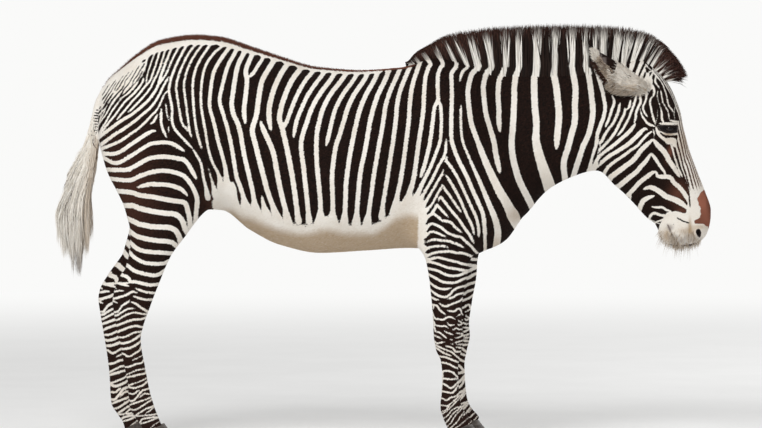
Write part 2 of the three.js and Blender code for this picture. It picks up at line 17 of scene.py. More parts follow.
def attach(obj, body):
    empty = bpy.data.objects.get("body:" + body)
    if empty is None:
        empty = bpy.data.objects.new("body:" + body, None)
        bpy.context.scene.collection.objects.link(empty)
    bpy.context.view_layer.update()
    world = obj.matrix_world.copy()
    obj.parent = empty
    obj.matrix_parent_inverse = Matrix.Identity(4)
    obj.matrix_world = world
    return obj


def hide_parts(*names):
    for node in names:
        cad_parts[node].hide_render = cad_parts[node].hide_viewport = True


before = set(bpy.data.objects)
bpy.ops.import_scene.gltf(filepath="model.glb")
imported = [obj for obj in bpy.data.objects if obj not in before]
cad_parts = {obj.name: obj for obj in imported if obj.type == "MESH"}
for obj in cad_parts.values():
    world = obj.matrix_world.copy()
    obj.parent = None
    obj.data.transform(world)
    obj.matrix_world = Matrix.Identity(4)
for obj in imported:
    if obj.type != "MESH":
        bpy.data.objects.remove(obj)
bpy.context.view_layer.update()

MM = 0.001
RIGHT, LEFT = -1, 1
random = np.random.default_rng(7)


# ---------------------------------------------------------------- smooth lines and lofts

def line(*knots):
    """A smooth line through a few knots (position, value), with no overshoot between them."""
    at, value = np.array(knots, float).T
    slope = np.diff(value) / np.diff(at)
    tangent = np.zeros(len(at))
    tangent[0], tangent[-1] = slope[0], slope[-1]
    product = slope[:-1] * slope[1:]
    total = np.where(product > 0, slope[:-1] + slope[1:], 1)
    tangent[1:-1] = np.where(product > 0, 2 * product / total, 0)
    grid = np.linspace(at[0], at[-1], 600)
    i = np.clip(np.searchsorted(at, grid, "right") - 1, 0, len(at) - 2)
    step = at[i + 1] - at[i]
    t = (grid - at[i]) / step
    table = value[i] + (value[i + 1] - value[i]) * t * t * (3 - 2 * t)
    table += t * (1 - t) ** 2 * step * tangent[i] + t * t * (t - 1) * step * tangent[i + 1]
    return lambda x: np.interp(x, grid, table)


def constant(value):
    """The same value everywhere."""
    return lambda x: np.full(np.shape(x), float(value))


def smoothstep(low, high, x):
    """From 0 at low to 1 at high, smoothly, and level beyond them."""
    t = np.clip((x - low) / (high - low), 0, 1)
    return t * t * (3 - 2 * t)


# A field's value far away, and how far from a loft it is worked out.
FAR, REACH = 500.0, 150.0


def loft(start, stop, rounding, high, low, half, origin=(0, 0), along=(1, 0), up=(0, 1),
         widest=constant(0.5), square_high=constant(2), square_low=constant(2), out=None):
    """A body part as a signed field, negative inside: sections stand across a straight run."""
    span = np.linspace(start, stop, 200)
    rise_low, rise_high = low(span).min() - REACH, high(span).max() + REACH

    def field(p):
        dx, dz = p[:, 0] - origin[0], p[:, 2] - origin[1]
        run = dx * along[0] + dz * along[1]
        rise = dx * up[0] + dz * up[1]
        near = (run > start - REACH) & (run < stop + REACH) & (rise > rise_low) & (rise < rise_high)
        result = np.full(len(p), FAR)
        run, rise, y = run[near], rise[near], p[near, 1]
        at = np.clip(run, start, stop)
        top, bottom = high(at), low(at)
        middle = bottom + (top - bottom) * widest(at)
        above = rise > middle
        reach = np.where(above, top - middle, middle - bottom)
        power = np.where(above, square_high(at), square_low(at))
        width = half(at)
        side = 0 if out is None else out(at)
        a = np.abs(rise - middle) / reach
        b = np.abs(y - side) / width
        radius = (a ** power + b ** power) ** (1 / power) + 1e-9
        steep = np.hypot((a / radius) ** (power - 1) / reach, (b / radius) ** (power - 1) / width)
        section = (radius - 1) / steep
        end = np.maximum(start - run, run - stop)
        p_out, q_out = np.maximum(section + rounding, 0), np.maximum(end + rounding, 0)
        inner = np.minimum(np.maximum(section, end), -rounding) + rounding
        result[near] = np.hypot(p_out, q_out) - rounding + inner
        return result

    return field


def join(a, b, blend):
    """Joins two fields with a fillet about `blend` wide."""
    near = np.maximum(blend - np.abs(a - b), 0) / blend
    return np.minimum(a, b) - near * near * blend / 4


# ---------------------------------------------------------------- the flesh, as in the frame

BUTTOCK_X, CHEST_X = -1062, 520
# The head's frame runs from the poll to the lips.
POLL, HEAD_LENGTH = (979, 1396), 688
HEAD_SLOPE = math.radians(-73.5)
HEAD_ALONG = (math.cos(HEAD_SLOPE), math.sin(HEAD_SLOPE))
HEAD_UP = (-HEAD_ALONG[1], HEAD_ALONG[0])
HIND_TRACK, FORE_TRACK = 118, 110

back_line = line((BUTTOCK_X, 1300), (-1030, 1350), (-980, 1396), (-908, 1457), (-833, 1501),
                 (-700, 1521), (-610, 1514), (-500, 1480), (-385, 1441), (-250, 1402), (-86, 1390),
                 (60, 1400), (176, 1412), (280, 1385), (380, 1290), (460, 1160), (CHEST_X, 1020))
trunk = loft(
    BUTTOCK_X, CHEST_X, 45, high=back_line,
    low=line((BUTTOCK_X, 1090), (-1000, 960), (-880, 890), (-700, 868), (-600, 862), (-497, 789),
             (-385, 733), (-235, 703), (-60, 712), (100, 721), (230, 708), (330, 695), (400, 722),
             (460, 768), (CHEST_X, 870)),
    half=line((BUTTOCK_X, 70), (-1010, 156), (-900, 210), (-740, 232), (-560, 234), (-400, 254),
              (-220, 268), (-60, 260), (80, 230), (200, 205), (340, 190), (430, 168),
              (CHEST_X, 108)),
    widest=line((BUTTOCK_X, 0.45), (-700, 0.52), (-220, 0.47), (200, 0.45), (CHEST_X, 0.4)),
    square_high=line((BUTTOCK_X, 2), (-700, 2.15), (-300, 2.1), (0, 1.95), (170, 1.7),
                     (CHEST_X, 1.8)),
    square_low=line((BUTTOCK_X, 2), (-220, 2.15), (200, 2.1), (CHEST_X, 2.2)),
)

neck = loft(
    176, 985, 50,
    high=line((176, 1408), (300, 1394), (420, 1388), (740, 1390), (880, 1402), (985, 1392)),
    low=line((176, 1040), (330, 860), (440, 800), (505, 842), (580, 914), (661, 966), (736, 998),
             (811, 1020), (880, 1065), (985, 1190)),
    half=line((176, 150), (330, 168), (480, 142), (620, 112), (760, 104), (860, 88), (985, 70)),
    widest=line((176, 0.4), (480, 0.36), (760, 0.42), (985, 0.5)),
    square_high=line((176, 1.6), (500, 1.45), (985, 1.6)),
    square_low=line((176, 2), (985, 2.1)),
)

skull_high = line((-40, 4), (30, 48), (74, 67), (129, 78), (185, 82), (263, 74), (330, 72.5),
                  (421, 78), (513, 86), (560, 89), (600, 80), (640, 61), (668, 38),
                  (HEAD_LENGTH, 8))
skull = loft(
    -40, HEAD_LENGTH, 26, origin=POLL, along=HEAD_ALONG, up=HEAD_UP, high=skull_high,
    low=line((-40, -130), (60, -190), (180, -252), (280, -271), (325, -262), (380, -238),
             (421, -212), (473, -184), (541, -151), (568, -130), (600, -124), (635, -117),
             (664, -94), (HEAD_LENGTH, -42)),
    half=line((-40, 52), (40, 74), (130, 92), (200, 102), (263, 104), (320, 95), (380, 83),
              (440, 71), (500, 60), (560, 56), (610, 59), (650, 51), (HEAD_LENGTH, 34)),
    widest=line((-40, 0.6), (130, 0.7), (241, 0.77), (330, 0.72), (440, 0.6), (560, 0.5),
                (650, 0.52)),
    square_high=line((-40, 2), (185, 2.5), (300, 2.6), (440, 2.2), (600, 2.3), (HEAD_LENGTH, 2.3)),
    square_low=line((-40, 2), (200, 2.3), (330, 2.6), (440, 2.1), (560, 2), (620, 2.4),
                    (HEAD_LENGTH, 2.3)),
)

# How far the left legs stand from the right ones, by height.
hind_stagger = line((0, -84), (160, -82), (390, -68), (545, -66), (700, -36), (860, 0))
fore_stagger = line((0, 28), (400, 28), (560, 44), (680, 34), (820, 0))

hind_front = line((30, -794), (60, -818), (110, -840), (150, -854), (200, -868), (290, -885),
                  (390, -901), (430, -893), (510, -865), (600, -830), (700, -785), (780, -726),
                  (860, -672), (930, -640), (1060, -622), (1200, -640), (1330, -700))
hind_rear = line((30, -888), (60, -897), (90, -916), (130, -941), (170, -946), (240, -954),
                 (390, -984), (470, -998), (530, -1006), (560, -1002), (620, -980), (700, -947),
                 (780, -941), (860, -957), (950, -990), (1060, -1032), (1160, -1046),
                 (1240, -1030), (1330, -960))
hind_half = line((60, 37), (95, 31), (140, 37), (190, 28), (290, 25), (390, 27), (440, 36),
                 (530, 46), (610, 41), (700, 56), (780, 72), (860, 88), (960, 99), (1080, 105),
                 (1200, 101), (1330, 74))
hind_out = line((60, HIND_TRACK), (500, HIND_TRACK), (780, 123), (1000, 127), (1330, 116))

fore_front = line((30, 370), (60, 346), (90, 328), (115, 306), (150, 290), (220, 282), (280, 280),
                  (330, 288), (390, 300), (450, 294), (520, 295), (620, 313), (700, 328),
                  (780, 362), (860, 420), (950, 448), (1050, 430), (1150, 380))
fore_rear = line((30, 250), (60, 238), (90, 225), (135, 213), (190, 217), (260, 219), (310, 213),
                 (350, 196), (400, 188), (480, 184), (600, 172), (680, 158), (750, 138),
                 (820, 142), (950, 170), (1150, 230))
fore_half = line((60, 40), (95, 32), (135, 36), (185, 27), (260, 24), (310, 28), (360, 41),
                 (410, 47), (470, 43), (560, 47), (680, 60), (780, 69), (900, 75), (1020, 73),
                 (1150, 60))
fore_out = line((60, FORE_TRACK), (400, 116), (700, 124), (900, 122), (1150, 114))


def leg(top, front, rear, half, out, stagger, side):
    """A leg from its outlines; the left one is the right one mirrored and set off along X."""
    shift = stagger if side == LEFT else constant(0)
    return loft(
        30, top, 12, along=(0, 1), up=(1, 0),
        high=lambda z: front(z) + shift(z), low=lambda z: rear(z) + shift(z),
        half=half, out=lambda z: side * out(z),
        widest=line((60, 0.55), (300, 0.62), (500, 0.56), (900, 0.5)),
        square_high=line((60, 2.2), (400, 2.3), (700, 2)),
        square_low=line((60, 2.1), (300, 1.8), (400, 2.2), (700, 2)),
    )


hind_legs = {s: leg(1330, hind_front, hind_rear, hind_half, hind_out, hind_stagger, s)
             for s in (RIGHT, LEFT)}
fore_legs = {s: leg(1150, fore_front, fore_rear, fore_half, fore_out, fore_stagger, s)
             for s in (RIGHT, LEFT)}

# The tail with its brush, of which the flesh takes in the dock.
DOCK_LOW, DOCK_HIGH = 1068, 1322
tail_rear = line((594, -1156), (660, -1181), (740, -1212), (830, -1226), (940, -1196),
                 (1020, -1163), (1100, -1125), (1180, -1099), (1260, -1081), (1322, -1052))
tail_front = line((594, -1134), (620, -1117), (660, -1099), (700, -1087), (760, -1081),
                  (900, -1091), (1020, -1075), (1100, -1063), (1180, -1058), (1260, -1046),
                  (1322, -1004))
tail_span = line((594, 9), (650, 32), (740, 49), (850, 52), (1000, 38), (1100, 24), (1200, 19),
                 (1322, 23))
dock = loft(DOCK_LOW, DOCK_HIGH, 8, along=(0, 1), up=(1, 0), high=tail_front, low=tail_rear,
            half=tail_span)


def flesh(p):
    """The whole body's signed field: its parts, joined by fillets."""
    result = join(trunk(p), neck(p), 130)
    result = join(result, skull(p), 46)
    result = join(result, np.minimum(hind_legs[RIGHT](p), hind_legs[LEFT](p)), 90)
    result = join(result, np.minimum(fore_legs[RIGHT](p), fore_legs[LEFT](p)), 80)
    return join(result, dock(p), 26)


# ---------------------------------------------------------------- hooves' tops

HOOF_SLOPE = math.radians(51)
HOOF_TAPER = 0.16
HOOVES = {
    "hind": {"length": 114, "width": 92, "toe": 76, "heel": 40, "toe_x": -754, "track": HIND_TRACK},
    "fore": {"length": 120, "width": 102, "toe": 78, "heel": 42, "toe_x": 388, "track": FORE_TRACK},
}


def hoof_toe(end, side):
    stagger = hind_stagger if end == "hind" else fore_stagger
    return HOOVES[end]["toe_x"] + (float(stagger(0)) if side == LEFT else 0)


def coronet(end, side):
    """The top edge's ends, (x, z) at the toe and at the heel."""
    hoof, toe_x = HOOVES[end], hoof_toe(end, side)
    inward = hoof["length"] / 2 * HOOF_TAPER
    lean = (hoof["toe"] / math.tan(HOOF_SLOPE) - inward) / hoof["toe"]
    toe = (toe_x - inward - hoof["toe"] * lean, hoof["toe"])
    heel = (toe_x - hoof["length"] + inward - hoof["heel"] * lean, hoof["heel"])
    return toe, heel


def below_coronets(p):
    """How far a point lies under the plane of its hoof's top edge, less what the hoof hides."""
    result = np.full(len(p), -FAR)
    low = p[:, 2] < 160
    for end in HOOVES:
        for side in (RIGHT, LEFT):
            toe, heel = coronet(end, side)
            own = low & (p[:, 1] * side > 0) & (np.abs(p[:, 0] - toe[0]) < 260)
            rise = (toe[1] - heel[1]) / (toe[0] - heel[0])
            level = toe[1] + (p[own, 0] - toe[0]) * rise
            result[own] = level - 5 - p[own, 2]
    return result


# ---------------------------------------------------------------- what the skin adds

def head_frame(p):
    """Along the head from the poll to the lips, and towards the forehead."""
    dx, dz = p[:, 0] - POLL[0], p[:, 2] - POLL[1]
    return dx * HEAD_ALONG[0] + dz * HEAD_ALONG[1], dx * HEAD_UP[0] + dz * HEAD_UP[1]


def head_point(along, up):
    """The x and z of a place on the head's frame."""
    return (POLL[0] + along * HEAD_ALONG[0] + up * HEAD_UP[0],
            POLL[1] + along * HEAD_ALONG[1] + up * HEAD_UP[1])


EYE_RADIUS, EYE_OUT = 21, 84
EYE = head_point(241, 17)
NOSTRIL = (1177, 781)

# Swellings and hollows on each side: x, z, half lengths, turn in degrees, height, and how far
# from the middle plane they begin.
RELIEF = [
    (270, 1175, 34, 165, 17, 5, 60), (150, 1110, 30, 160, 14, -4, 60), (455, 960, 52, 60, 0, 6, 60),
    (178, 850, 34, 40, 0, 6, 60), (395, 1180, 24, 130, 18, -5, 60), (640, 1080, 150, 15, 34, -5, 50),
    (640, 1125, 150, 18, 34, 3, 50), (-600, 1400, 46, 40, 0, 8, 90), (-510, 1290, 60, 70, 0, -6, 120),
    (-790, 1330, 40, 120, -28, 4, 90), (-930, 1210, 24, 130, -30, -4, 60), (-690, 950, 60, 60, 0, 6, 60),
    (-640, 900, 20, 70, -35, -5, 60), (-850, 860, 16, 110, -10, -3, 60), (-955, 640, 13, 60, -18, -6, 50),
    (-905, 560, 22, 34, 0, 3, 50), (-938, 300, 5, 120, 8, -3.5, 50), (-915, 300, 7, 120, 8, 1.5, 50),
    (245, 300, 5, 90, 0, -3.5, 50), (262, 300, 7, 90, 0, 1.5, 50), (270, 620, 12, 110, 6, -3, 50),
    (230, 660, 22, 110, 4, 3, 50), (258, 415, 26, 20, 0, 3, 50), (222, 400, 8, 60, 0, -3, 50),
    (232, 150, 14, 16, 0, 2.5, 50), (-928, 150, 14, 16, 0, 2.5, 50), (955, 1085, 70, 80, 20, 7, 30),
    (1085, 1035, 9, 75, 17, 4, 30), (1122, 1040, 10, 110, 16, -3, 20), (1030, 1245, 15, 18, 0, -5, 40),
    (1062, 1203, 22, 10, 0, 5, 50), (975, 1240, 22, 40, 12, 4, 40), (1180, 783, 22, 26, 0, 7, 14),
    (1150, 800, 14, 40, 15, -3, 14), (1060, 770, 20, 26, 10, 5, 10), (1120, 790, 26, 26, 0, 4, 10),
    (958, 1322, 36, 30, 0, 9, 40), (845, 1120, 13, 90, 12, -6, 30), (1020, 900, 40, 30, 30, 3, 20),
]


def relief(p):
    """How far muscles, veins and bones raise the skin."""
    height = np.zeros(len(p))
    for x, z, rx, rz, turn, rise, out in RELIEF:
        near = (np.abs(p[:, 0] - x) < 3 * max(rx, rz)) & (np.abs(p[:, 2] - z) < 3 * max(rx, rz))
        q = p[near]
        c, s = math.cos(math.radians(turn)), math.sin(math.radians(turn))
        dx, dz = q[:, 0] - x, q[:, 2] - z
        a, b = (dx * c - dz * s) / rx, (dx * s + dz * c) / rz
        weight = smoothstep(out * 0.5, out, np.abs(q[:, 1]))
        height[near] += rise * np.exp(-a * a - b * b) * weight
    return height


# Half width of the brown stripe along the back, and how far below the back's line the white
# beside it reaches.
dorsal_half = line((-1040, 5), (-990, 26), (-930, 56), (-833, 76), (-700, 80), (-500, 70),
                   (-300, 54), (-86, 42), (176, 26))
dorsal_white = line((BUTTOCK_X, 8), (-1030, 12), (-1007, 17), (-953, 32), (-900, 42),
                    (-833, 42), (-700, 35), (-560, 29), (-440, 21), (-300, 17), (-100, 14),
                    (176, 11))


def on_dorsal(p):
    """1 on the stripe of standing hair along the back, 0 beside it."""
    x = p[:, 0]
    high = smoothstep(-70, -40, p[:, 2] - back_line(x)) * smoothstep(132, 98, x) * (x > -1045)
    return high * smoothstep(6, -6, np.abs(p[:, 1]) - dorsal_half(x))


BODY_DEPTH, FACE_LESS, STANDING_MORE = 3.6, 2.0, 5.5


def coat_depth(p):
    """How far the skin lies inside the solids, which reach the tips of the coat: less on the face
    and the low legs, and more under the standing hair of the back."""
    along, _ = head_frame(p)
    on_head = smoothstep(700, 950, p[:, 0]) * smoothstep(150, 300, along)
    low_leg = smoothstep(760, 560, p[:, 2]) * (p[:, 0] < 600)
    standing = on_dorsal(p) * smoothstep(120, -300, p[:, 0])
    return BODY_DEPTH - FACE_LESS * np.maximum(on_head, low_leg) + STANDING_MORE * standing


def mouth_line(along):
    """Where the lips meet, as a height over the head's axis."""
    return np.interp(along, [575, 610, 640, 662, 676, 692], [-88, -84, -79, -73, -66, -58])


def mouth(p):
    """How deep the line between the lips is cut."""
    along, up = head_frame(p)
    groove = np.exp(-((up - mouth_line(along)) / 3.2) ** 2)
    return 5.5 * groove * smoothstep(572, 596, along) * (p[:, 0] > 900)


def skin_field(p):
    """The skin: the flesh less the coat, with its relief and the round eyelids."""
    body = flesh(p) + coat_depth(p) - relief(p)
    eye = np.column_stack([p[:, 0] - EYE[0], np.abs(p[:, 1]) - EYE_OUT, p[:, 2] - EYE[1]])
    lids = np.linalg.norm(eye, axis=1) - (EYE_RADIUS + 3.2)
    body = join(body, lids, 14)
    return np.maximum(body, below_coronets(p))


# ---------------------------------------------------------------- meshing the skin

# The first mesh's cells and corners, and how far a field is probed for its slope.
CELL, PROBE = 12.0, 0.4
GRID_LOW = np.array([-1180.0, -312.0, 24.0])
GRID_HIGH = np.array([1260.0, 312.0, 1600.0])


def slope_of(field, p):
    """The field's value and its gradient."""
    here = field(p)
    gradient = np.empty_like(p)
    for axis in range(3):
        moved = p.copy()
        moved[:, axis] += PROBE
        gradient[:, axis] = (field(moved) - here) / PROBE
    return here, gradient


def settle(field, p, steps):
    """Moves points onto the field's zero surface."""
    for _ in range(steps):
        here, gradient = slope_of(field, p)
        steep = np.maximum((gradient ** 2).sum(1), 0.2)
        p = p - gradient * np.clip(here / steep, -6, 6)[:, None]
    return p


def first_mesh(field):
    """An even mesh of the field's surface, as vertices and triangles."""
    count = ((GRID_HIGH - GRID_LOW) / CELL).astype(int) + 1
    axes = [GRID_LOW[i] + CELL * np.arange(count[i]) for i in range(3)]
    points = np.stack(np.meshgrid(*axes, indexing="ij"), -1).reshape(-1, 3)
    values = field(points)
    grid = openvdb.FloatGrid(float(values.max()))
    grid.copyFromArray(values.reshape(count).astype(np.float32))
    vertices, quads = grid.convertToQuads(isovalue=0.0)
    quads = quads.astype(np.int64)
    triangles = np.concatenate([quads[:, [0, 1, 2]], quads[:, [0, 2, 3]]])
    return vertices.astype(float) * CELL + GRID_LOW, triangles


def split_long(vertices, triangles, target):
    """Halves every edge that is longer than its place allows."""
    edges = np.sort(triangles[:, [[0, 1], [1, 2], [2, 0]]], axis=2)
    flat = edges.reshape(-1, 2)
    pairs, owner = np.unique(flat, axis=0, return_inverse=True)
    a, b = vertices[pairs[:, 0]], vertices[pairs[:, 1]]
    middle = (a + b) / 2
    long = np.linalg.norm(a - b, axis=1) > 1.34 * target(middle)
    new_id = np.full(len(pairs), -1)
    new_id[long] = len(vertices) + np.arange(long.sum())
    mid = new_id[owner.reshape(-1, 3)]
    cut = (mid >= 0).sum(1)
    made = [triangles[cut == 0]]
    for turn in range(3):
        order = [(turn + k) % 3 for k in range(3)]
        t, m = triangles[:, order], mid[:, order]
        one = (cut == 1) & (m[:, 0] >= 0)
        i, j, k = t[one].T
        made += [np.column_stack([i, m[one, 0], k]), np.column_stack([m[one, 0], j, k])]
        two = (cut == 2) & (m[:, 2] < 0)
        i, j, k = t[two].T
        p, q = m[two, 0], m[two, 1]
        made += [np.column_stack([p, j, q]), np.column_stack([i, p, q]), np.column_stack([i, q, k])]
    t, m = triangles[cut == 3], mid[cut == 3]
    for corner in range(3):
        made.append(np.column_stack([t[:, corner], m[:, corner], m[:, corner - 1]]))
    made.append(m)
    return np.concatenate([vertices, middle[long]]), np.concatenate(made)


def edge_length(p):
    """How fine the skin is from place to place: finest at the eyes, nostrils and lips."""
    x, z = p[:, 0], p[:, 2]
    along, up = head_frame(p)
    size = np.full(len(p), 8.0)
    fine = (x > 820) & (along > 20)
    fine |= (x < -800) & (z > 1190) & (z < 1460)
    fine |= z < 40
    size[(z < 690) & (x < 600)] = 4.6
    size[fine] = 3.4
    eye = np.hypot((x - EYE[0]) / 46, (z - EYE[1]) / 30) < 1
    nostril = np.hypot(x - NOSTRIL[0] - 1, z - NOSTRIL[1] - 1) < 30
    lips = (along > 568) & (np.abs(up - mouth_line(along)) < 13)
    size[eye | nostril | lips] = 1.7
    return size


def skin_mesh():
    """The skin's mesh, made finer step by step and settled on the skin's field."""
    vertices, triangles = first_mesh(skin_field)
    vertices = settle(skin_field, vertices, 3)
    for _ in range(3):
        old = len(vertices)
        vertices, triangles = split_long(vertices, triangles, edge_length)
        vertices[old:] = settle(skin_field, vertices[old:], 2)
    return vertices, triangles


# ---------------------------------------------------------------- eyelids, nostrils and lips

def eye_opening(p):
    """How far inside the opening between the lids a point is, seen from the side."""
    a, b = p[:, 0] - EYE[0], p[:, 2] - EYE[1]
    upper = 11.5 - 0.0115 * (a + 1) ** 2
    lower = -12.0 + 0.0175 * (a - 1) ** 2
    return np.minimum(upper - b, b - lower)


def nostril_opening(p):
    """How far inside the nostril's opening a point is, seen from the side."""
    a, b = p[:, 0] - NOSTRIL[0], p[:, 2] - NOSTRIL[1]
    turned_a, turned_b = a * 0.97 + b * 0.22, b * 0.97 - a * 0.22
    width = 8.5 + 0.12 * turned_b
    return 1 - np.hypot(turned_a / width, turned_b / 15)


def sculpt(p, normal):
    """Cuts the lids' opening, the nostrils and the mouth's line into the finished skin."""
    outer = np.abs(p[:, 1])
    near_eye = (np.hypot(p[:, 0] - EYE[0], p[:, 2] - EYE[1]) < 60) & (outer > 60)
    depth = np.where(near_eye, 7.5 * smoothstep(0, 2.4, eye_opening(p)), 0)
    rim = np.where(near_eye, np.exp(-((eye_opening(p) + 2.2) / 2.2) ** 2), 0)
    crease = np.where(near_eye, np.exp(-((eye_opening(p) + 8.5) / 1.8) ** 2), 0)
    depth += -0.9 * rim + 0.9 * crease
    near_nose = (np.hypot(p[:, 0] - NOSTRIL[0], p[:, 2] - NOSTRIL[1]) < 60) & (outer > 12)
    inside = nostril_opening(p)
    depth += np.where(near_nose, 15 * smoothstep(-0.06, 0.5, inside), 0)
    depth -= np.where(near_nose, 2.2 * np.exp(-((inside + 0.22) / 0.2) ** 2), 0)
    depth += mouth(p)
    return p - normal * depth[:, None]


def across_faces(p, triangles):
    """Each triangle's normal, as long as twice its area."""
    corners = p[triangles]
    return np.cross(corners[:, 1] - corners[:, 0], corners[:, 2] - corners[:, 0])


def vertex_normals(p, triangles):
    face = across_faces(p, triangles)
    normal = np.zeros_like(p)
    for k in range(3):
        for axis in range(3):
            normal[:, axis] += np.bincount(triangles[:, k], face[:, axis], len(p))
    return normal / np.maximum(np.linalg.norm(normal, axis=1), 1e-9)[:, None]


# ---------------------------------------------------------------- markings

# Strokes of the coat's pattern on the right side. White strokes are laid on black, and black
# ones over them: a half width, or two for the ends, then x and z along the stroke. A row that is
# set in goes on with the stroke before it.
TRUNK_WHITE = """
8 -569,1475 -603,1425 -627,1375 -638,1300 -639,1250 -625,1200 -608,1125 -594,1075 -583,1025 -572,930
8 -545,1462 -575,1400 -595,1325 -603,1275 -589,1225 -574,1175 -558,1100 -542,1000 -525,950 -500,860
7 -557,973 -550,940 -552,905 -545,870
9 -515,1455 -539,1400 -555,1300 -559,1265 -551,1225 -530,1175 -512,1075 -489,975 -471,880 -465,850
9 -480,1460 -495,1425 -508,1385 -503,1350 -507,1300 -513,1240 -508,1192
7 -440,1447 -451,1425 -467,1400 -482,1375 -500,1362
10 -400,1432 -420,1400 -447,1350 -457,1300 -467,1225 -482,1170 -473,1125 -448,1025 -421,925 -385,835
10 -452,1200 -443,1175 -420,1125 -402,1075 -384,975 -373,925 -350,830
7 -447,925 -443,900 -432,865 -425,840
10 -355,1412 -378,1375 -401,1325 -415,1275 -421,1235 -418,1195 -413,1168
10 -300,1403 -338,1350 -360,1300 -376,1250 -382,1210 -371,1172 -349,1075 -331,975 -318,875 -312,835
8 -258,1387 -288,1350 -316,1300 -337,1250 -355,1200 -368,1172
8 -218,1381 -241,1350 -276,1300 -300,1250 -319,1200 -330,1142
9 -178,1379 -197,1350 -234,1300 -262,1250 -280,1200 -302,1120 -292,1025 -279,900 -274,835
9 -136,1378 -155,1350 -194,1300 -220,1250 -235,1200 -245,1140 -244,1050 -231,900 -235,820
5 -211,842 -212,812
8 -94,1379 -111,1350 -148,1300 -174,1250 -189,1200 -200,1150 -210,1110
9 -56,1381 -71,1350 -106,1300 -130,1250 -145,1200 -160,1150 -176,1100 -188,1000 -186,930 -185,820
9 -18,1384 -33,1350 -62,1300 -83,1250 -97,1200 -118,1100 -135,985 -139,900 -143,825
9 24,1392 7,1350 -18,1300 -35,1250 -48,1200 -65,1100 -81,1025 -90,950 -100,820
8.5 68,1403 44,1350 22,1300 8,1250 1,1200 -17,1100 -34,1000 -44,925 -60,820
8.5 104,1408 78,1350 60,1300 51,1250 47,1200 33,1100 17,1000 5,925 -8,850
8.5 136,1412 114,1350 103,1300 98,1250 95,1200 82,1100 68,1000 52,925 38,865
8.8 152,1448 176,1413 170,1400 163,1380 157,1355 152,1300 150,1250 144,1200 129,1100 115,1000
    102,950 84,900 60,855
8.6 202,1458 223,1412 214,1399 207,1382 203,1360 203,1300 204,1280 190,1248 184,1200 174,1125
    163,1075 149,1025 138,994
7.5 204,1280 214,1250 215,1175 210,1125 193,1075 173,1025 148,975 125,925 108,880
9 274,1440 273,1405 266,1393 256,1379 254,1365 255,1300 252,1150 262,1100 282,1050 308,1000 329,950
    352,900 371,850 380,760
6.8 290,1455 314,1405 307,1393 294,1379 285,1346
6 288,1262 288,1180 295,1125 314,1075 336,1025
6,17 314,1075 336,1025 358,975 379,925 400,875 416,835 426,790 424,745
10.8 357,1440 357,1404 348,1392 334,1378 326,1362 317,1325 315,1290 325,1200 341,1150 379,1050 405,995
11,22 341,1150 379,1050 426,950 456,900 485,842
10.8 407,1440 405,1403 397,1390 386,1376 380,1360 373,1325 376,1275 382,1225 396,1175 410,1125
    418,1075 432,1010
10 461,1440 458,1403 452,1390 445,1376 433,1350 428,1300 430,1250 430,1200 433,1160
10,14 508,1425 507,1400 497,1375 489,1325 488,1275 482,1175 477,1125 480,1075 491,1025 507,975 548,895
"""

NECK_WHITE = """
13 573,1530 573,1400 565,1370 563,1320 565,1250 570,1190 568,1130 578,1080 590,1040
13,28 570,1190 568,1130 578,1080 590,1040 618,962
13 642,1530 642,1450 640,1400 638,1370 645,1330 650,1280 654,1220 648,1150 644,1097
12 712,1530 708,1470 703,1415 710,1370 717,1320 714,1260 713,1200 703,1160 690,1110 672,1040 680,977
11 765,1530 755,1415 765,1380 772,1330 777,1280 780,1230 772,1180 760,1140 742,1100 718,1020 712,995
8 808,1345 815,1318 822,1284 826,1250 819,1210 811,1190 798,1150 793,1110 785,1080 775,1040 770,1020
6.5 852,1296 860,1270 854,1250 847,1230 841,1210 832,1190 827,1175
6.5 882,1268 878,1250 873,1230 865,1210 855,1190 839,1170 826,1150 816,1130 808,1113 798,1085 790,1050
6.5 899,1250 898,1230 889,1210 879,1190 870,1170 858,1150 843,1130 825,1110 807,1090 797,1065 793,1040
"""

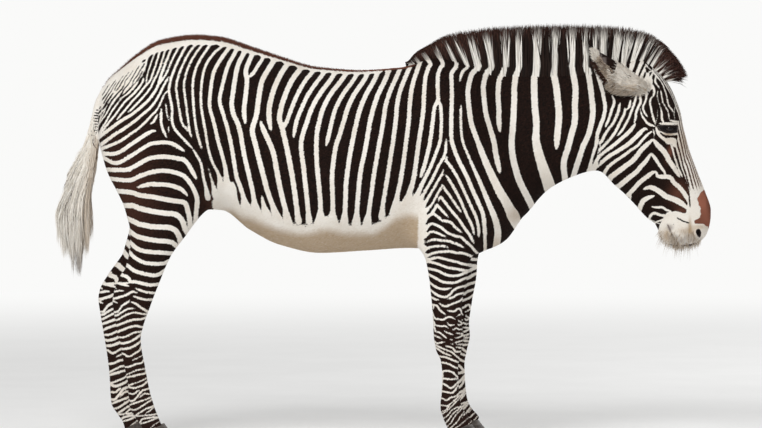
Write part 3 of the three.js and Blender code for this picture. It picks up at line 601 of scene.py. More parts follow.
HEAD_WHITE = """
6.5 921,1278 918,1265 914,1250 904,1240
6 943,1298 936,1270 929,1250 921,1230 914,1210 903,1190 892,1170 876,1150 869,1143
6 955,1302 957,1270 948,1250 941,1230 939,1210 934,1192
9,8 938,1190 924,1170 905,1150 882,1130 859,1110 833,1090 810,1070 797,1050
5 977,1312 979,1290 974,1270 966,1252 968,1240 975,1226 984,1214
3.5,7 956,1246 959,1230 968,1210 985,1190 1000,1183 1012,1179
10,8 982,1168 971,1170 950,1150 930,1130 907,1110 877,1090 844,1070 820,1050 800,1033
6,9 1001,1163 984,1150 964,1130 948,1110 930,1097 919,1090 894,1070 865,1050 841,1030 829,1010 822,990
4 1004,1170 1008,1150 1006,1140
10,13 1004,1132 978,1110 958,1090 944,1070 926,1050 900,1030 875,1010 851,990 843,975
13,10 1004,1132 1021,1110 1041,1090 1055,1070 1065,1050 1080,1030 1092,1010 1105,990
5,6 1068,1118 1076,1098 1081,1080 1088,1058 1096,1035 1106,1010 1115,990
9,14 997,1080 977,1050 959,1030 943,1010 919,990 896,970 874,950
9,6 997,1080 1019,1050 1032,1030 1047,1010 1052,996
10 1018,1009 1004,1008 983,992 955,970 940,952
10 1018,1009 1025,993 1067,990 1083,970 1106,950 1122,930 1137,905 1142,885
10,14 970,945 1000,952 1039,930 1054,918 1089,905 1115,890 1135,872
11 1010,920 987,912 970,900 963,885 958,868
5 926,930 923,906
6 1000,879 1015,877 1030,877 1042,877 1055,868 1075,862
6.5 995,836 1001,848 1013,855 1030,849 1050,846 1070,850
3 971,841 985,835
4.5 1013,813 1024,823 1040,829 1060,838
5 999,1290 992,1270 996,1250 999,1230 1005,1210 1013,1186
5 973,1390 977,1378
3.5 984,1363 986,1370 990,1378 997,1385 1020,1391 1050,1391
3.5 1006,1388 1005,1380 1000,1368 996,1358 999,1342
9 968,1313 982,1321 1000,1324
5 1003,1330 1009,1312 1006,1296 999,1284
3.5 1016,1376 1017,1366 1013,1350 1016,1340 1023,1330 1028,1320
2.5 1024,1316 1020,1297 1022,1279 1026,1266 1032,1250
4,7 1032,1250 1036,1230 1036,1210 1043,1192
3.5 1033,1316 1036,1295 1039,1275 1042,1266 1050,1252 1058,1238 1062,1222 1064,1205
3,4 1025,1358 1034,1348 1042,1333 1047,1320 1052,1305 1056,1288 1059,1269 1065,1253 1076,1240 1079,1228
2 1021,1246 1020,1225 1018,1208 1014,1190
6.5 1024,1190 1040,1190 1060,1190 1077,1189
5 1062,1203 1078,1199 1093,1197
2.5 1088,1252 1084,1238 1083,1222 1085,1203
2 1089,1250 1096,1236 1101,1220 1105,1203
8 1014,1178 1020,1160 1029,1146 1043,1134 1058,1126 1074,1120
6 1026,1163 1040,1153 1056,1149 1074,1149 1088,1152
"""

MUZZLE_WHITE = """
13 1060,1125 1078,1125 1088,1114
26 1090,838 1130,830 1160,860 1175,930
22 1072,840 1052,800 1050,770
30 1160,800 1160,860 1170,920
40 1085,775 1120,775 1180,785
30 1150,1000 1165,940 1180,880
18 1160,1040 1178,985 1192,940
"""

NOSE_BLACK = """
3.5,1.5 1084,1096 1091,1070 1098,1050 1106,1025 1116,1005 1124,985 1131,965 1137,945 1141,920 1145,878
1.8 1096,838 1110,830 1125,824 1140,819
2.8 1031,1156 1040,1148 1055,1143 1070,1142 1080,1145
5 987,1305 989,1300
2.5 989,1300 988,1288 984,1278 979,1266
"""

THROAT_BLACK = """
5.5,1.6 811,1160 807,1145 805,1130 801,1115
1.6,6.6 801,1118 800,1105 797,1093 793,1078 790,1066
7.0,2.0 793,1078 789,1063 784,1050 780,1036
3.0,2.4 824,1124 815,1114 807,1105 800,1098
3.0,2.4 820,1094 811,1084 804,1077 799,1073
2.5,5.0 850,1088 832,1077 820,1067 809,1057
2.6,1.6 808,1058 805,1046 804,1034
"""

RUMP_WHITE = """
6 -600,1475 -627,1450 -658,1400 -671,1325 -670,1250 -657,1175 -645,1100 -630,1050 -607,1000 -603,950
4 -646,1033 -638,1000 -629,960 -625,930
6 -647,1475 -663,1450 -690,1400 -702,1340 -699,1260 -690,1180 -677,1125 -668,1098
5.5 -676,1475 -694,1450 -720,1400 -733,1350 -734,1320 -728,1275 -718,1200 -712,1160 -703,1137
5.5 -702,1475 -720,1450 -744,1400 -760,1350 -763,1320 -756,1275 -743,1200 -730,1178 -716,1163
6 -732,1475 -745,1450 -768,1400 -784,1350 -789,1310 -778,1250 -778,1205 -769,1175 -749,1150 -703,1100
6 -703,1100 -674,1050 -665,1000 -654,950 -650,915
5,9 -788,1365 -800,1350 -825,1300 -839,1275 -859,1250 -888,1225 -918,1200 -953,1175 -993,1150 -1040,1117
4,8.5 -790,1315 -806,1300 -829,1250 -851,1225 -874,1200 -901,1175 -937,1150 -975,1125 -1035,1100
4 -802,1268 -796,1225 -790,1203
6 -817,1248 -818,1200 -813,1175 -802,1150 -797,1140
4 -792,1185 -789,1158
6 -830,1228 -846,1200 -860,1190
5 -756,1475 -770,1450 -791,1400 -801,1375 -817,1350 -830,1332
5,8 -783,1475 -801,1425 -818,1375 -834,1325 -849,1300 -869,1275 -896,1250 -928,1225 -970,1200 -1039,1150
5 -818,1425 -825,1400 -834,1375 -846,1350 -858,1325 -876,1300 -899,1275 -923,1250 -943,1233
5 -837,1425 -844,1400 -852,1375 -861,1350 -882,1325 -901,1300 -925,1275 -946,1250 -985,1205
4 -856,1425 -864,1400 -872,1370 -876,1340
5 -877,1425 -881,1400 -893,1375 -887,1350 -902,1325 -923,1300 -951,1275 -971,1250 -989,1225 -1018,1190
4.5 -904,1350 -921,1325 -946,1300 -973,1275 -994,1250 -1010,1225 -1024,1200 -1041,1175
4 -926,1350 -940,1325 -963,1300 -994,1275 -1012,1250 -1026,1225 -1046,1200 -1066,1175
3.5 -955,1350 -968,1325 -991,1300 -1010,1275 -1024,1250 -1038,1225
3 -982,1325 -1007,1300 -1023,1275 -1040,1250 -1047,1225
3 -1013,1325 -1017,1300 -1033,1275 -1059,1250
3 -1026,1325 -1038,1300 -1052,1275
3 -904,1350 -889,1387 -874,1428
4 -1050,1263 -1064,1252 -1080,1240
4 -1053,1243 -1067,1231 -1082,1218
4 -1058,1221 -1071,1209 -1085,1196
"""

# The croup's fine dark lines, on white.
CROUP_WHITE = """
15,20 -1044,1266 -1015,1292 -985,1318 -950,1345 -915,1378 -896,1398
20,18 -1056,1284 -1030,1310 -1000,1335 -965,1362 -930,1392
12,9 -990,1286 -962,1302 -940,1324 -921,1348 -906,1370 -893,1392 -884,1412
"""

CROUP_BLACK = """
1.7,1.0 -1046,1295 -1038,1306 -1030,1319 -1025,1327 -1018,1337
2.0,1.3 -1045,1277 -1031,1295 -1020,1312 -1010,1328 -997,1346 -993,1353
2.0,1.2 -1038,1263 -1030,1277 -1021,1293 -1011,1307 -1003,1321 -997,1334 -990,1344
2.8,2.2 -1041,1242 -1034,1252 -1023,1270 -1013,1285 -1004,1299 -1000,1304
2.0,1.0 -996,1313 -990,1328 -980,1343 -971,1358 -964,1368
2.9,2.2 -1028,1238 -1017,1256 -1006,1274 -991,1293 -979,1306 -966,1320 -957,1336
1.7,1.0 -957,1336 -954,1349 -944,1362 -933,1377 -926,1391
2.6,1.2 -989,1313 -977,1327 -968,1344 -959,1359 -947,1375 -942,1382
2.8,1.5 -974,1292 -963,1309 -955,1322 -944,1334 -936,1348 -929,1360 -920,1377 -912,1392 -904,1405
3.5,2.9 -1006,1247 -992,1267 -978,1286 -969,1292 -956,1300 -943,1312 -931,1325 -927,1332
2.2,1.4 -927,1332 -923,1350 -914,1362 -906,1376 -899,1389 -889,1404 -883,1416
2.0,1.3 -927,1331 -915,1342 -908,1353 -900,1366 -894,1379 -892,1384
3.7,2.3 -976,1267 -956,1285 -943,1294 -929,1306 -918,1319 -909,1330 -900,1344 -893,1357 -885,1370
    -878,1385 -874,1407
"""

THIGH_WHITE = """
9 -1030,1080 -1000,1079 -975,1086 -950,1101 -925,1119 -900,1135 -875,1152 -850,1164 -836,1165
9 -1022,1057 -1000,1047 -975,1048 -925,1076 -900,1093 -875,1108 -850,1119 -790,1122 -750,1103 -732,1088
10 -1008,1020 -950,1021 -925,1030 -900,1044 -875,1058 -850,1067 -800,1070 -750,1062 -725,1050 -687,985
10 -995,985 -950,982 -925,985 -900,997 -850,1014 -800,1018 -750,1006 -725,989 -700,951 -688,910 -692,865
10 -908,956 -875,965 -850,968 -800,966 -775,961 -750,952 -735,940 -722,925
11 -985,940 -950,939 -925,936 -900,927 -850,921 -800,911 -750,903 -730,895 -718,850 -715,820
12 -962,887 -925,887 -900,878 -850,867 -800,860 -775,858 -757,850 -742,830 -735,805 -728,790
12 -948,838 -935,833 -900,819 -850,810 -800,808 -780,803 -765,792 -755,770 -752,755
11 -935,788 -920,778 -900,770 -850,760 -800,755 -780,750 -768,738
10 -942,752 -930,742 -915,730 -900,723 -880,718 -850,715 -820,713 -780,708
9 -960,713 -948,728 -937,733
9 -936,708 -925,697 -900,682 -880,675 -860,672 -830,671 -810,673 -795,680
9 -978,682 -965,695 -943,700
9 -995,650 -985,660 -970,666 -950,664 -925,647 -900,638 -875,632 -850,628 -830,632 -810,645
8 -1003,636 -985,640 -968,638
8 -968,628 -950,622 -943,615 -937,605 -920,604 -900,600 -880,595 -860,592 -835,594
6 -1020,612 -1008,620 -995,608 -985,605
6 -980,597 -960,593 -940,587
6 -920,582 -900,573 -880,566 -860,563
5 -1028,596 -1005,597
5 -1035,580 -1000,583 -990,578
5 -992,568 -975,571 -960,570
5 -1045,560 -1020,566 -1000,566
6 -1050,545 -1000,541 -980,546 -955,554 -935,565 -925,568 -910,562
6 -928,551 -900,543 -880,538 -865,537
6 -975,512 -960,520 -945,530 -938,538
6 -935,530 -915,522 -900,510 -885,500 -878,495
5 -1000,530 -985,525
5 -998,490 -985,492 -975,505 -965,515
5 -1000,476 -985,480 -970,490 -955,500 -940,505 -920,505
5 -1015,468 -995,460 -980,465 -960,477 -940,486 -920,490 -900,486
6 -1020,448 -995,440 -980,444 -960,452 -940,460 -920,464 -900,465 -885,468
6 -1010,420 -990,415 -975,422 -955,430 -935,437 -915,440 -900,436
5 -985,396 -965,397 -950,402 -935,410 -920,416 -908,417
6 -1015,408 -1000,393 -985,380 -970,374 -950,378 -935,383 -920,392 -905,402
6 -1005,372 -990,358 -975,353 -950,355 -930,362 -915,370 -905,378
"""

HIND_WHITE = """
5 -985,335 -965,335 -945,325 -920,338 -905,348 -898,362
5 -960,285 -940,288 -920,297 -905,300 -892,305 -888,315
3.5 -935,310 -918,317 -908,322
4 -930,268 -915,275 -897,278
5 -955,245 -940,250 -920,255 -900,260 -885,262 -880,270
4 -925,225 -905,232 -888,240
5 -950,220 -945,212 -925,208 -905,214 -890,220 -878,230
4.5 -945,187 -925,187 -915,195 -903,202
5 -945,163 -938,160 -925,163 -910,180 -895,198 -880,203
4 -908,170 -895,182 -885,188 -872,186
4.5 -940,145 -920,153 -900,160 -885,165 -872,170
4.5 -942,130 -930,127 -915,130 -895,142 -875,155 -866,160
4.5 -925,100 -912,112 -895,122 -880,132 -862,138
4 -938,110 -925,112
4 -885,112 -870,122 -857,132
4 -905,105 -880,107 -852,110
4.5 -905,78 -895,92 -870,98 -850,100 -838,98
4 -885,80 -870,85 -850,92
3 -866,60 -842,77 -816,90
3 -880,48 -850,58 -812,72
3 -850,44 -824,54 -800,62
"""

SHOULDER_WHITE = """
7 234,1135 232,1110 230,1085 222,1065 213,1050 200,1025 188,1000 175,975 161,950 147,925 120,880
6.5 224,1022 215,1000 200,975 187,950 171,925 160,905 148,885
6 220,968 212,950 200,930 190,910 180,892 165,875 150,855
7.5 238,1072 233,1055 245,1040 271,1000 296,950 319,900 342,850 350,825 354,800 355,770
8 376,850 377,790 380,735
7 230,1003 240,990 264,950 290,900 311,850 322,830 332,805 338,780
6.5 220,968 230,948 247,925 263,900 281,875 290,862
7 204,903 213,920 229,900 248,875 262,858 280,838 305,800 320,780 338,745
7 165,840 178,858 188,870 200,890 211,878 230,858 243,845
6.5 155,830 165,845 178,856 190,855 205,845 220,833 240,830 255,823 265,810 292,788
6.5 160,800 170,815 182,821 200,815 220,803 240,787 270,775 290,770 305,755 325,738 340,720
6 160,775 172,787 182,791 200,787 220,778 233,772
6.5 165,752 178,760 190,762 215,759 240,757 255,752 275,745 302,730
6 163,728 180,735 205,738 225,738 243,733
6.5 162,700 178,708 200,715 225,717 250,718 275,712 300,710 335,695
6.5 180,690 200,695 215,693 235,688 255,683 275,678 300,670 325,665
6.5 162,678 175,678 200,672 225,663 245,657 270,653 300,647
6.5 165,653 185,650 205,645 225,635 245,628 265,627 285,630 305,637 350,642
6.5 167,632 185,623 200,615 220,605 240,602 260,601 280,606 300,615 320,620
6 170,603 180,595 200,583 220,578 240,579 255,583
6 175,573 190,562 205,553 220,549 235,549 250,560 262,574 280,583 300,587
5.5 237,540 262,548 275,557 300,562
5.5 180,545 195,539 210,536
5.5 207,525 220,517 233,513 250,520 270,527 285,533 295,540
5 185,518 200,515 210,500 222,490 233,482
5 187,520 187,500
5 235,500 245,496 265,495 275,503 285,503 292,492
4 272,475 282,480
4 275,463 282,458
5 187,478 192,468 205,465 225,464 238,473 255,472 268,464
4.5 190,450 193,443 215,439 230,440 243,431
4.5 236,455 248,443 268,445
4 273,450 282,443 292,445
4.5 192,428 195,420 210,415 220,408 230,400 238,393
4.5 225,423 240,415 262,408
4 253,430 262,427 272,432 282,427 292,427
4 268,415 285,412
4.5 265,398 280,397 292,402
4.5 192,403 200,400 212,396 220,390
4.5 192,380 200,374 215,378 232,380
4 245,390 265,388
4 262,378 290,384
4 250,375 265,370
4 270,370 290,371
5 198,357 215,345 235,335 255,328
4.5 212,360 230,352 255,343 265,334
5 230,367 258,358 268,345 290,343
4.5 268,362 290,357
5 210,325 230,323 245,318 260,312 272,307
5 212,303 230,301 245,297 258,290 277,281
5 221,255 222,268 235,272 250,270 262,264 270,255 278,248
5 222,243 250,241 270,242
5 220,225 235,218 250,208 262,213 275,226
5 220,195 240,192 255,190 268,200 280,218
4.5 220,168 237,163 250,172 270,178 282,187
4 222,143 240,143 262,160 270,167
3.5 222,120 235,128 250,148
3.5 222,112 240,125 262,148 285,170
3.5 222,92 240,105 255,125 270,135 290,140
3.5 232,75 245,92 262,115 278,128
3.5 240,65 255,83 270,108 285,123
3.5 262,70 275,82 290,105 302,120
3 262,56 285,70 314,94
3 282,46 306,62 332,86
3 302,42 326,58 348,74
3 294,98 312,120
"""

# The side map's low corner, cell and size in cells, and the distance at which it levels off.
MAP_LOW, MAP_CELL = np.array([-1260.0, 0.0]), 2.0
MAP_SIZE = (1260, 810)
CLEAR = 14.0


def leaves_outline(points):
    """Whether any of some points of the side view lies off the body."""
    sides = np.arange(-10, -250, -40.0)
    x, y = np.meshgrid(points[:, 0], sides)
    z, _ = np.meshgrid(points[:, 1], sides)
    inside = flesh(np.column_stack([x.ravel(), y.ravel(), z.ravel()])) < 0
    return not inside.reshape(x.shape).any(axis=0).all()


def run_on(end, before):
    """A point past a stroke's end if it meets the edge of the body or the tail's root."""
    away = (end - before) / np.linalg.norm(end - before)
    on_croup, on_leg = end[1] > 1330, end[1] <= 700
    reach = 100 if on_croup else 24 if on_leg else 46
    by_tail = end[0] < -1005 and 1100 < end[1] < 1300
    if by_tail or leaves_outline(end + away * np.linspace(0.1, 1, 4)[:, None] * reach):
        return [end + away * (reach + 45)]
    return []


def strokes(text, width, runs):
    """Half widths and points of each stroke in a block of text. What ends near the edge of the
    side view runs on over it if the block's strokes do."""
    for row in text.strip().replace("\n    ", " ").splitlines():
        first, *rest = row.split()
        half = [width * float(v) for v in first.split(",")]
        points = np.array([[float(v) for v in pair.split(",")] for pair in rest])
        if runs:
            start, end = run_on(points[0], points[1]), run_on(points[-1], points[-2])
            points = np.vstack(start + [points] + end)
        yield half[0], half[-1], smooth_path(points)


def smooth_path(points, pieces=4):
    """A smooth path through the points."""
    before = np.vstack([2 * points[0] - points[1], points, 2 * points[-1] - points[-2]])
    t = (np.arange(pieces) / pieces)[:, None]
    made = []
    for i in range(len(points) - 1):
        a, b, c, d = before[i:i + 4]
        made.append(0.5 * (2 * b + (c - a) * t + (2 * a - 5 * b + 4 * c - d) * t ** 2
                           + (3 * b - a - 3 * c + d) * t ** 3))
    return np.vstack(made + [points[-1:]])


def near_cells(a, b, margin):
    """The part of the map round a straight run, and where its cells are."""
    low = ((np.minimum(a, b) - margin - MAP_LOW) / MAP_CELL).astype(int)
    high = ((np.maximum(a, b) + margin - MAP_LOW) / MAP_CELL).astype(int) + 2
    low, high = np.clip(low, 0, MAP_SIZE), np.clip(high, 0, MAP_SIZE)
    gx = MAP_LOW[0] + MAP_CELL * np.arange(low[0], high[0])[:, None]
    gz = MAP_LOW[1] + MAP_CELL * np.arange(low[1], high[1])[None, :]
    return (slice(low[0], high[0]), slice(low[1], high[1])), gx, gz


def lay(canvas, text, width, white=True, blunt=False, runs=True):
    """Adds strokes to a map whose values are the distance inside white, negative in black."""
    for half_start, half_end, path in strokes(text, width, runs):
        steps = np.linalg.norm(np.diff(path, axis=0), axis=1)
        length = steps.sum()
        share = np.concatenate([[0], np.cumsum(steps)]) / length
        margin = max(half_start, half_end) + CLEAR
        for a, b, share_a, share_b in zip(path, path[1:], share, share[1:]):
            cells, gx, gz = near_cells(a, b, margin)
            step = b - a
            t = ((gx - a[0]) * step[0] + (gz - a[1]) * step[1]) / max(step @ step, 1e-9)
            t = np.clip(t, 0, 1)
            distance = np.hypot(gx - a[0] - t * step[0], gz - a[1] - t * step[1])
            along = share_a + (share_b - share_a) * t
            half = half_start + (half_end - half_start) * along
            to_end = np.minimum(along, 1 - along) * length
            if not blunt:
                half *= 0.3 + 0.7 * np.sqrt(np.clip(to_end / (3.6 * half), 0, 1))
            if white:
                canvas[cells] = np.maximum(canvas[cells], half - distance)
            else:
                canvas[cells] = np.minimum(canvas[cells], distance - half)


def side_map():
    """The strokes' map of the right side."""
    canvas = np.full(MAP_SIZE, -CLEAR)
    for text, width in ((TRUNK_WHITE, 0.94), (NECK_WHITE, 0.94), (RUMP_WHITE, 0.94),
                        (THIGH_WHITE, 0.89), (HIND_WHITE, 0.88), (SHOULDER_WHITE, 0.88),
                        (HEAD_WHITE, 0.9)):
        lay(canvas, text, width)
    lay(canvas, MUZZLE_WHITE, 1.0, blunt=True)
    lay(canvas, NOSE_BLACK, 1.0, white=False)
    lay(canvas, THROAT_BLACK, 1.0, white=False, runs=False)
    lay(canvas, CROUP_WHITE, 1.0, blunt=True, runs=False)
    lay(canvas, CROUP_BLACK, 1.0, white=False, runs=False)
    return canvas


def read_map(canvas, x, z):
    """The map's value at places between its cells' centres."""
    gx = np.clip((x - MAP_LOW[0]) / MAP_CELL, 0, MAP_SIZE[0] - 1.001)
    gz = np.clip((z - MAP_LOW[1]) / MAP_CELL, 0, MAP_SIZE[1] - 1.001)
    i, j = gx.astype(int), gz.astype(int)
    u, v = gx - i, gz - j
    return ((1 - u) * (1 - v) * canvas[i, j] + u * (1 - v) * canvas[i + 1, j]
            + (1 - u) * v * canvas[i, j + 1] + u * v * canvas[i + 1, j + 1])


# Where the stripes end above the white belly.
belly_edge = line((-680, 905), (-565, 898), (-525, 876), (-490, 868), (-445, 850), (-370, 825),
                  (-295, 815), (-210, 830), (-125, 815), (-45, 815), (15, 845), (55, 875),
                  (100, 885), (150, 870))
# Paler places: x, z, half lengths, and how far the white spreads there.
PALE = [(-590, 925, 34, 55, 16), (110, 820, 34, 90, 15), (90, 780, 40, 60, 12),
        (488, 850, 26, 22, 10), (-660, 905, 16, 40, 6),
        (930, 1352, 42, 26, 22), (972, 1334, 26, 24, 16)]

# The crest of the neck, where the mane comes into sight, and how far the mane leans forward.
mane_base = line((90, 1412), (235, 1411), (280, 1405), (320, 1402), (1010, 1402))
mane_lean = line((90, -0.75), (180, -0.66), (230, -0.48), (300, -0.48), (350, -0.25),
                 (420, -0.1), (480, 0), (800, 0.02), (860, 0.1), (900, 0.2), (930, 0.34),
                 (960, 0.5), (1010, 0.62))
# Where the white bands of the mane's front stand at its base, counted from the neck forwards.
band_count = line((776, -1), (820, 0), (864, 1), (896, 2), (926, 3), (957, 4), (980, 5), (1002, 6))


def front_band(x):
    """The bands between the ears and the mane's front, by their place on the mane's base."""
    return 5 * np.cos(2 * math.pi * band_count(x)) + 0.6


def side_view(p):
    """Where a point is looked up in the side map. The left side's stripes follow its own legs,
    and smooth waves bend them, so that it is no mirror copy of the right side."""
    left = smoothstep(0, 60, p[:, 1])
    x, z = p[:, 0].copy(), p[:, 2].copy()
    is_leg = smoothstep(860, 640, z)
    x -= np.where((p[:, 1] > 0) & (x < -400), hind_stagger(z), 0)
    x -= np.where((p[:, 1] > 0) & (x > 0) & (x < 600), fore_stagger(z), 0)
    x += left * (14 * np.sin(z / 130 + x / 310) + 7 * np.sin(x / 90 + 1)) * (1 - is_leg)
    z += left * (9 * np.sin(x / 150 + 2) + is_leg * 6 * np.sin(z / 70))
    return x, z


def widen_white(value, p, x, z, normal):
    """Widens the white on the belly, beside the back's stripe, in pale places and inside the
    legs, and narrows it slightly elsewhere."""
    below = belly_edge(x) + 55 - z
    on_belly = smoothstep(-668, -618, x) * smoothstep(168, 138, x) * smoothstep(650, 690, z)
    value += 18 * smoothstep(0, 75, below) * on_belly
    under_back = back_line(p[:, 0]) - p[:, 2] - dorsal_white(p[:, 0])
    value += 24 * smoothstep(7, -7, under_back) * smoothstep(40, -60, p[:, 0])
    croup = smoothstep(-890, -920, x) * smoothstep(1285, 1310, z)
    as_drawn = croup + smoothstep(-620, -540, x) * smoothstep(180, 120, x)
    as_drawn += smoothstep(380, 440, x) * smoothstep(830, 790, x)
    value -= 0.2 + 0.9 * (1 - as_drawn)
    for px, pz, rx, rz, spread in PALE:
        value += spread * np.exp(-((x - px) / rx) ** 2 - ((z - pz) / rz) ** 2)
    faces_in = smoothstep(0.1, 0.8, -normal[:, 1] * np.sign(p[:, 1]))
    inner = faces_in * smoothstep(980, 860, z) * (p[:, 0] < 560)
    return value + (1 + 5 * smoothstep(700, 840, z)) * inner


def markings(canvas, p, normal):
    """Distance inside the white of the coat's pattern, in millimetres, negative in black."""
    x, z = side_view(p)
    value = widen_white(read_map(canvas, x, z), p, x, z, normal)
    crest = smoothstep(800, 816, x) * smoothstep(984, 972, x) * smoothstep(1336, 1352, z)
    value += (front_band(x - mane_lean(x) * (z - mane_base(x))) - value) * crest
    value += (-CLEAR - value) * on_dorsal(p)
    on_dock = smoothstep(-1044, -1058, p[:, 0]) * smoothstep(38, 26, np.abs(p[:, 1]))
    on_dock *= (z > 1040) * smoothstep(1306, 1262, z)
    value = value * (1 - on_dock) + dock_markings(p) * on_dock
    return np.clip(front_of_head(p, value), -CLEAR, CLEAR)


def dock_markings(p):
    """White, with a row of short dark bars down each side."""
    x, z = p[:, 0], p[:, 2]
    middle = (tail_front(z) + tail_rear(z)) / 2 + 3
    row = 1 - np.hypot((x - middle) / 17, (z - 1182) / 74)
    bars = 3 * np.cos(2 * math.pi * (z + 0.12 * (x - middle)) / 10.5)
    return 9 - smoothstep(-0.05, 0.25, row) * (9 + bars)


# Along the head: its half width, how high its front with the fine lines begins, and how high
# the brown patch over the nose begins.
face_half = line((20, 66), (130, 90), (200, 100), (320, 93), (440, 70), (560, 55), (680, 50))
face_edge = line((20, 22), (80, 48), (130, 60), (190, 66), (222, 60), (242, 46), (268, 42),
                 (295, 29), (327, 19), (363, 18), (395, 20), (435, 26), (472, 28), (520, 32))
patch_edge = line((484, 110), (494, 74), (506, 55), (530, 49), (573, 46), (592, 42), (606, 35),
                  (613, 13), (622, 12), (630, 44), (638, 90))
# The fine lines' distance and the first one's place, as angles round the head.
LINE_PITCH, FIRST_LINE = 0.157, 1.248


def nose_patch(p, along):
    """How high over the head's axis the brown patch on the nose begins."""
    y, side = p[:, 1], np.abs(p[:, 1])
    ragged = 1.8 * np.sin(y / 4.3 + along / 9) + 1.4 * np.sin(along / 3.7 - y / 6)
    corner = 60 * smoothstep(6, -6, along - 490 - 0.012 * side ** 2 - ragged)
    return patch_edge(along - 9 + 0.009 * side ** 2 + ragged) + corner + ragged


def front_of_head(p, value):
    """Fine dark lines down the forehead and nose, and the brown patch over the nostrils."""
    along, up = head_frame(p)
    on_head = (p[:, 0] > 900) & (along > 20) & (along < 680)
    sideways = np.abs(p[:, 1]) / face_half(along)
    angle = np.arctan2(sideways, (up + 25) / (skull_high(along) + 25))
    wave = 0.02 * np.sin(along / 31 + 2 * sideways)
    lines = 2.7 * np.cos(2 * math.pi * (angle - FIRST_LINE + wave) / LINE_PITCH)
    lines += 0.3 + 6 * smoothstep(455, 535, along)
    front = smoothstep(-3, 3, up - face_edge(along)) * on_head
    value = value * (1 - front) + lines * front
    patch = (nose_patch(p, along) - up) * 0.8
    return np.where(on_head & (along > 480), np.minimum(value, patch), value)


# ---------------------------------------------------------------- ears

EAR_ROOT = np.array([960.0, 74.0, 1325.0])
EAR_ROOT_DEPTH = 22
EAR_AIM = np.array([-0.81, 0.28, 0.51])
EAR_BACK = np.array([0.2, 0.72, 0.66])
EAR_LENGTH, EAR_WIDTH = 238, 108
# Along the ear: its half width, and how far its wall wraps round, in degrees.
ear_half = line((0, 30), (50, 47), (105, EAR_WIDTH / 2), (165, 48), (212, 30), (EAR_LENGTH, 6))
ear_wrap = line((0, 140), (60, 120), (130, 88), (200, 62), (EAR_LENGTH, 50))
EAR_STATIONS, EAR_STEPS = 76, 30


def unit(v):
    return v / np.maximum(np.linalg.norm(v, axis=-1, keepdims=True), 1e-9)


def ear_axes():
    """The left ear's ways: along it, out of its back, and across it."""
    aim = unit(EAR_AIM)
    back = unit(EAR_BACK - EAR_BACK @ aim * aim)
    return aim, back, np.cross(aim, back)


def ring_faces(rings, count):
    """The triangles between closed rings of points."""
    i, j = np.meshgrid(np.arange(rings - 1), np.arange(count), indexing="ij")
    a = (i * count + j).ravel()
    b = (i * count + (j + 1) % count).ravel()
    return np.concatenate([np.column_stack([a, b, b + count]),
                           np.column_stack([a, b + count, a + count])])


def outward_faces(vertices, faces):
    """The triangles of a closed mesh, turned to face out of it."""
    volume = np.einsum("ij,ij->", vertices[faces[:, 0]],
                       np.cross(vertices[faces[:, 1]], vertices[faces[:, 2]]))
    return faces if volume > 0 else faces[:, ::-1]


def ear_mesh(side):
    """A cupped leaf: its outer wall, its inner wall and the rounded rim between them."""
    aim, back, across = ear_axes()
    along = np.linspace(-16, EAR_LENGTH - 2, EAR_STATIONS)[:, None]
    place = np.maximum(along, 0)
    wrap = np.radians(ear_wrap(place))
    radius = ear_half(place) / np.sin(np.minimum(wrap, math.pi / 2)) - 1.5
    thick = 5.5 - 3.2 * smoothstep(30, 230, place)
    t = np.linspace(-1, 1, EAR_STEPS)[None, :]
    round_edge = np.sqrt(np.clip(1 - t ** 10, 0, 1))
    walls = []
    for inner in (False, True):
        u = -t if inner else t
        half_thick = thick / 2 * round_edge
        distance = radius - thick / 2 + (-half_thick if inner else half_thick)
        angle = u * wrap
        walls.append(EAR_ROOT + along[..., None] * aim
                     + (np.sin(angle) * distance)[..., None] * across
                     + (np.cos(angle) * distance - radius + EAR_ROOT_DEPTH)[..., None] * back)
    rings = np.concatenate([walls[0][:, :-1], walls[1][:, :-1]], axis=1)
    is_inner = np.repeat([False, True], EAR_STEPS - 1)[None, :].repeat(EAR_STATIONS, 0)
    count = rings.shape[1]
    vertices = rings.reshape(-1, 3)
    faces = [ring_faces(EAR_STATIONS, count)]
    for ring, turn in ((0, 1), (EAR_STATIONS - 1, -1)):
        centre = len(vertices)
        edge = ring * count + np.arange(count)
        vertices = np.vstack([vertices, vertices[edge].mean(0)])
        cap = np.column_stack([np.roll(edge, -1), edge, np.full(count, centre)])
        faces.append(cap[:, ::turn])
    inner = np.concatenate([is_inner.ravel(), [False, False]])
    faces = np.concatenate(faces)
    if side == RIGHT:
        vertices = vertices * [1, -1, 1]
        faces = faces[:, ::-1]
    return vertices, outward_faces(vertices, faces), inner


def ear_markings(p):
    """White ear with a black wedge across its upper edge and a dark rim towards the tip."""
    x, z = p[:, 0], p[:, 2]
    middle = line((1372, 851), (1400, 848), (1430, 838), (1450, 822))(z)
    wedge = np.minimum((z - 1369) * 0.55, 27) - np.abs(x - middle)
    rim = 7 - np.abs(x - line((1345, 822), (1390, 797), (1420, 788), (1470, 784))(z))
    rim = np.minimum(rim, np.minimum(z - 1340, 1436 - z))
    return np.clip(-np.maximum(wedge, rim), -CLEAR, CLEAR)


def ear_tints_and_shade(p, inner):
    """Painted shade on the ear: greyer and browner inside the cup, along its lower half and towards its
    front; and an olive band near the tip.
    """
    x, z = p[:, 0], p[:, 2]
    # Painted shade inside the cup, towards the ear's front and along its lower half.
    front = smoothstep(836, 822, x) * smoothstep(1440, 1434, z)
    lower = smoothstep(1352, 1318, z)
    olive = smoothstep(1426, 1431, z) * smoothstep(1450, 1446, z) * (x < 812)
    tan = np.maximum.reduce([0.15 + 0.45 * inner, 0.95 * front, 0.85 * lower, 0.95 * olive])
    bare_skin_and_shade = np.maximum.reduce([0.18 * inner, 0.29 * front, 0.16 * lower, 0.26 * olive])
    return np.column_stack([np.full(len(p), 0.03), tan, bare_skin_and_shade])


# ---------------------------------------------------------------- from arrays to objects

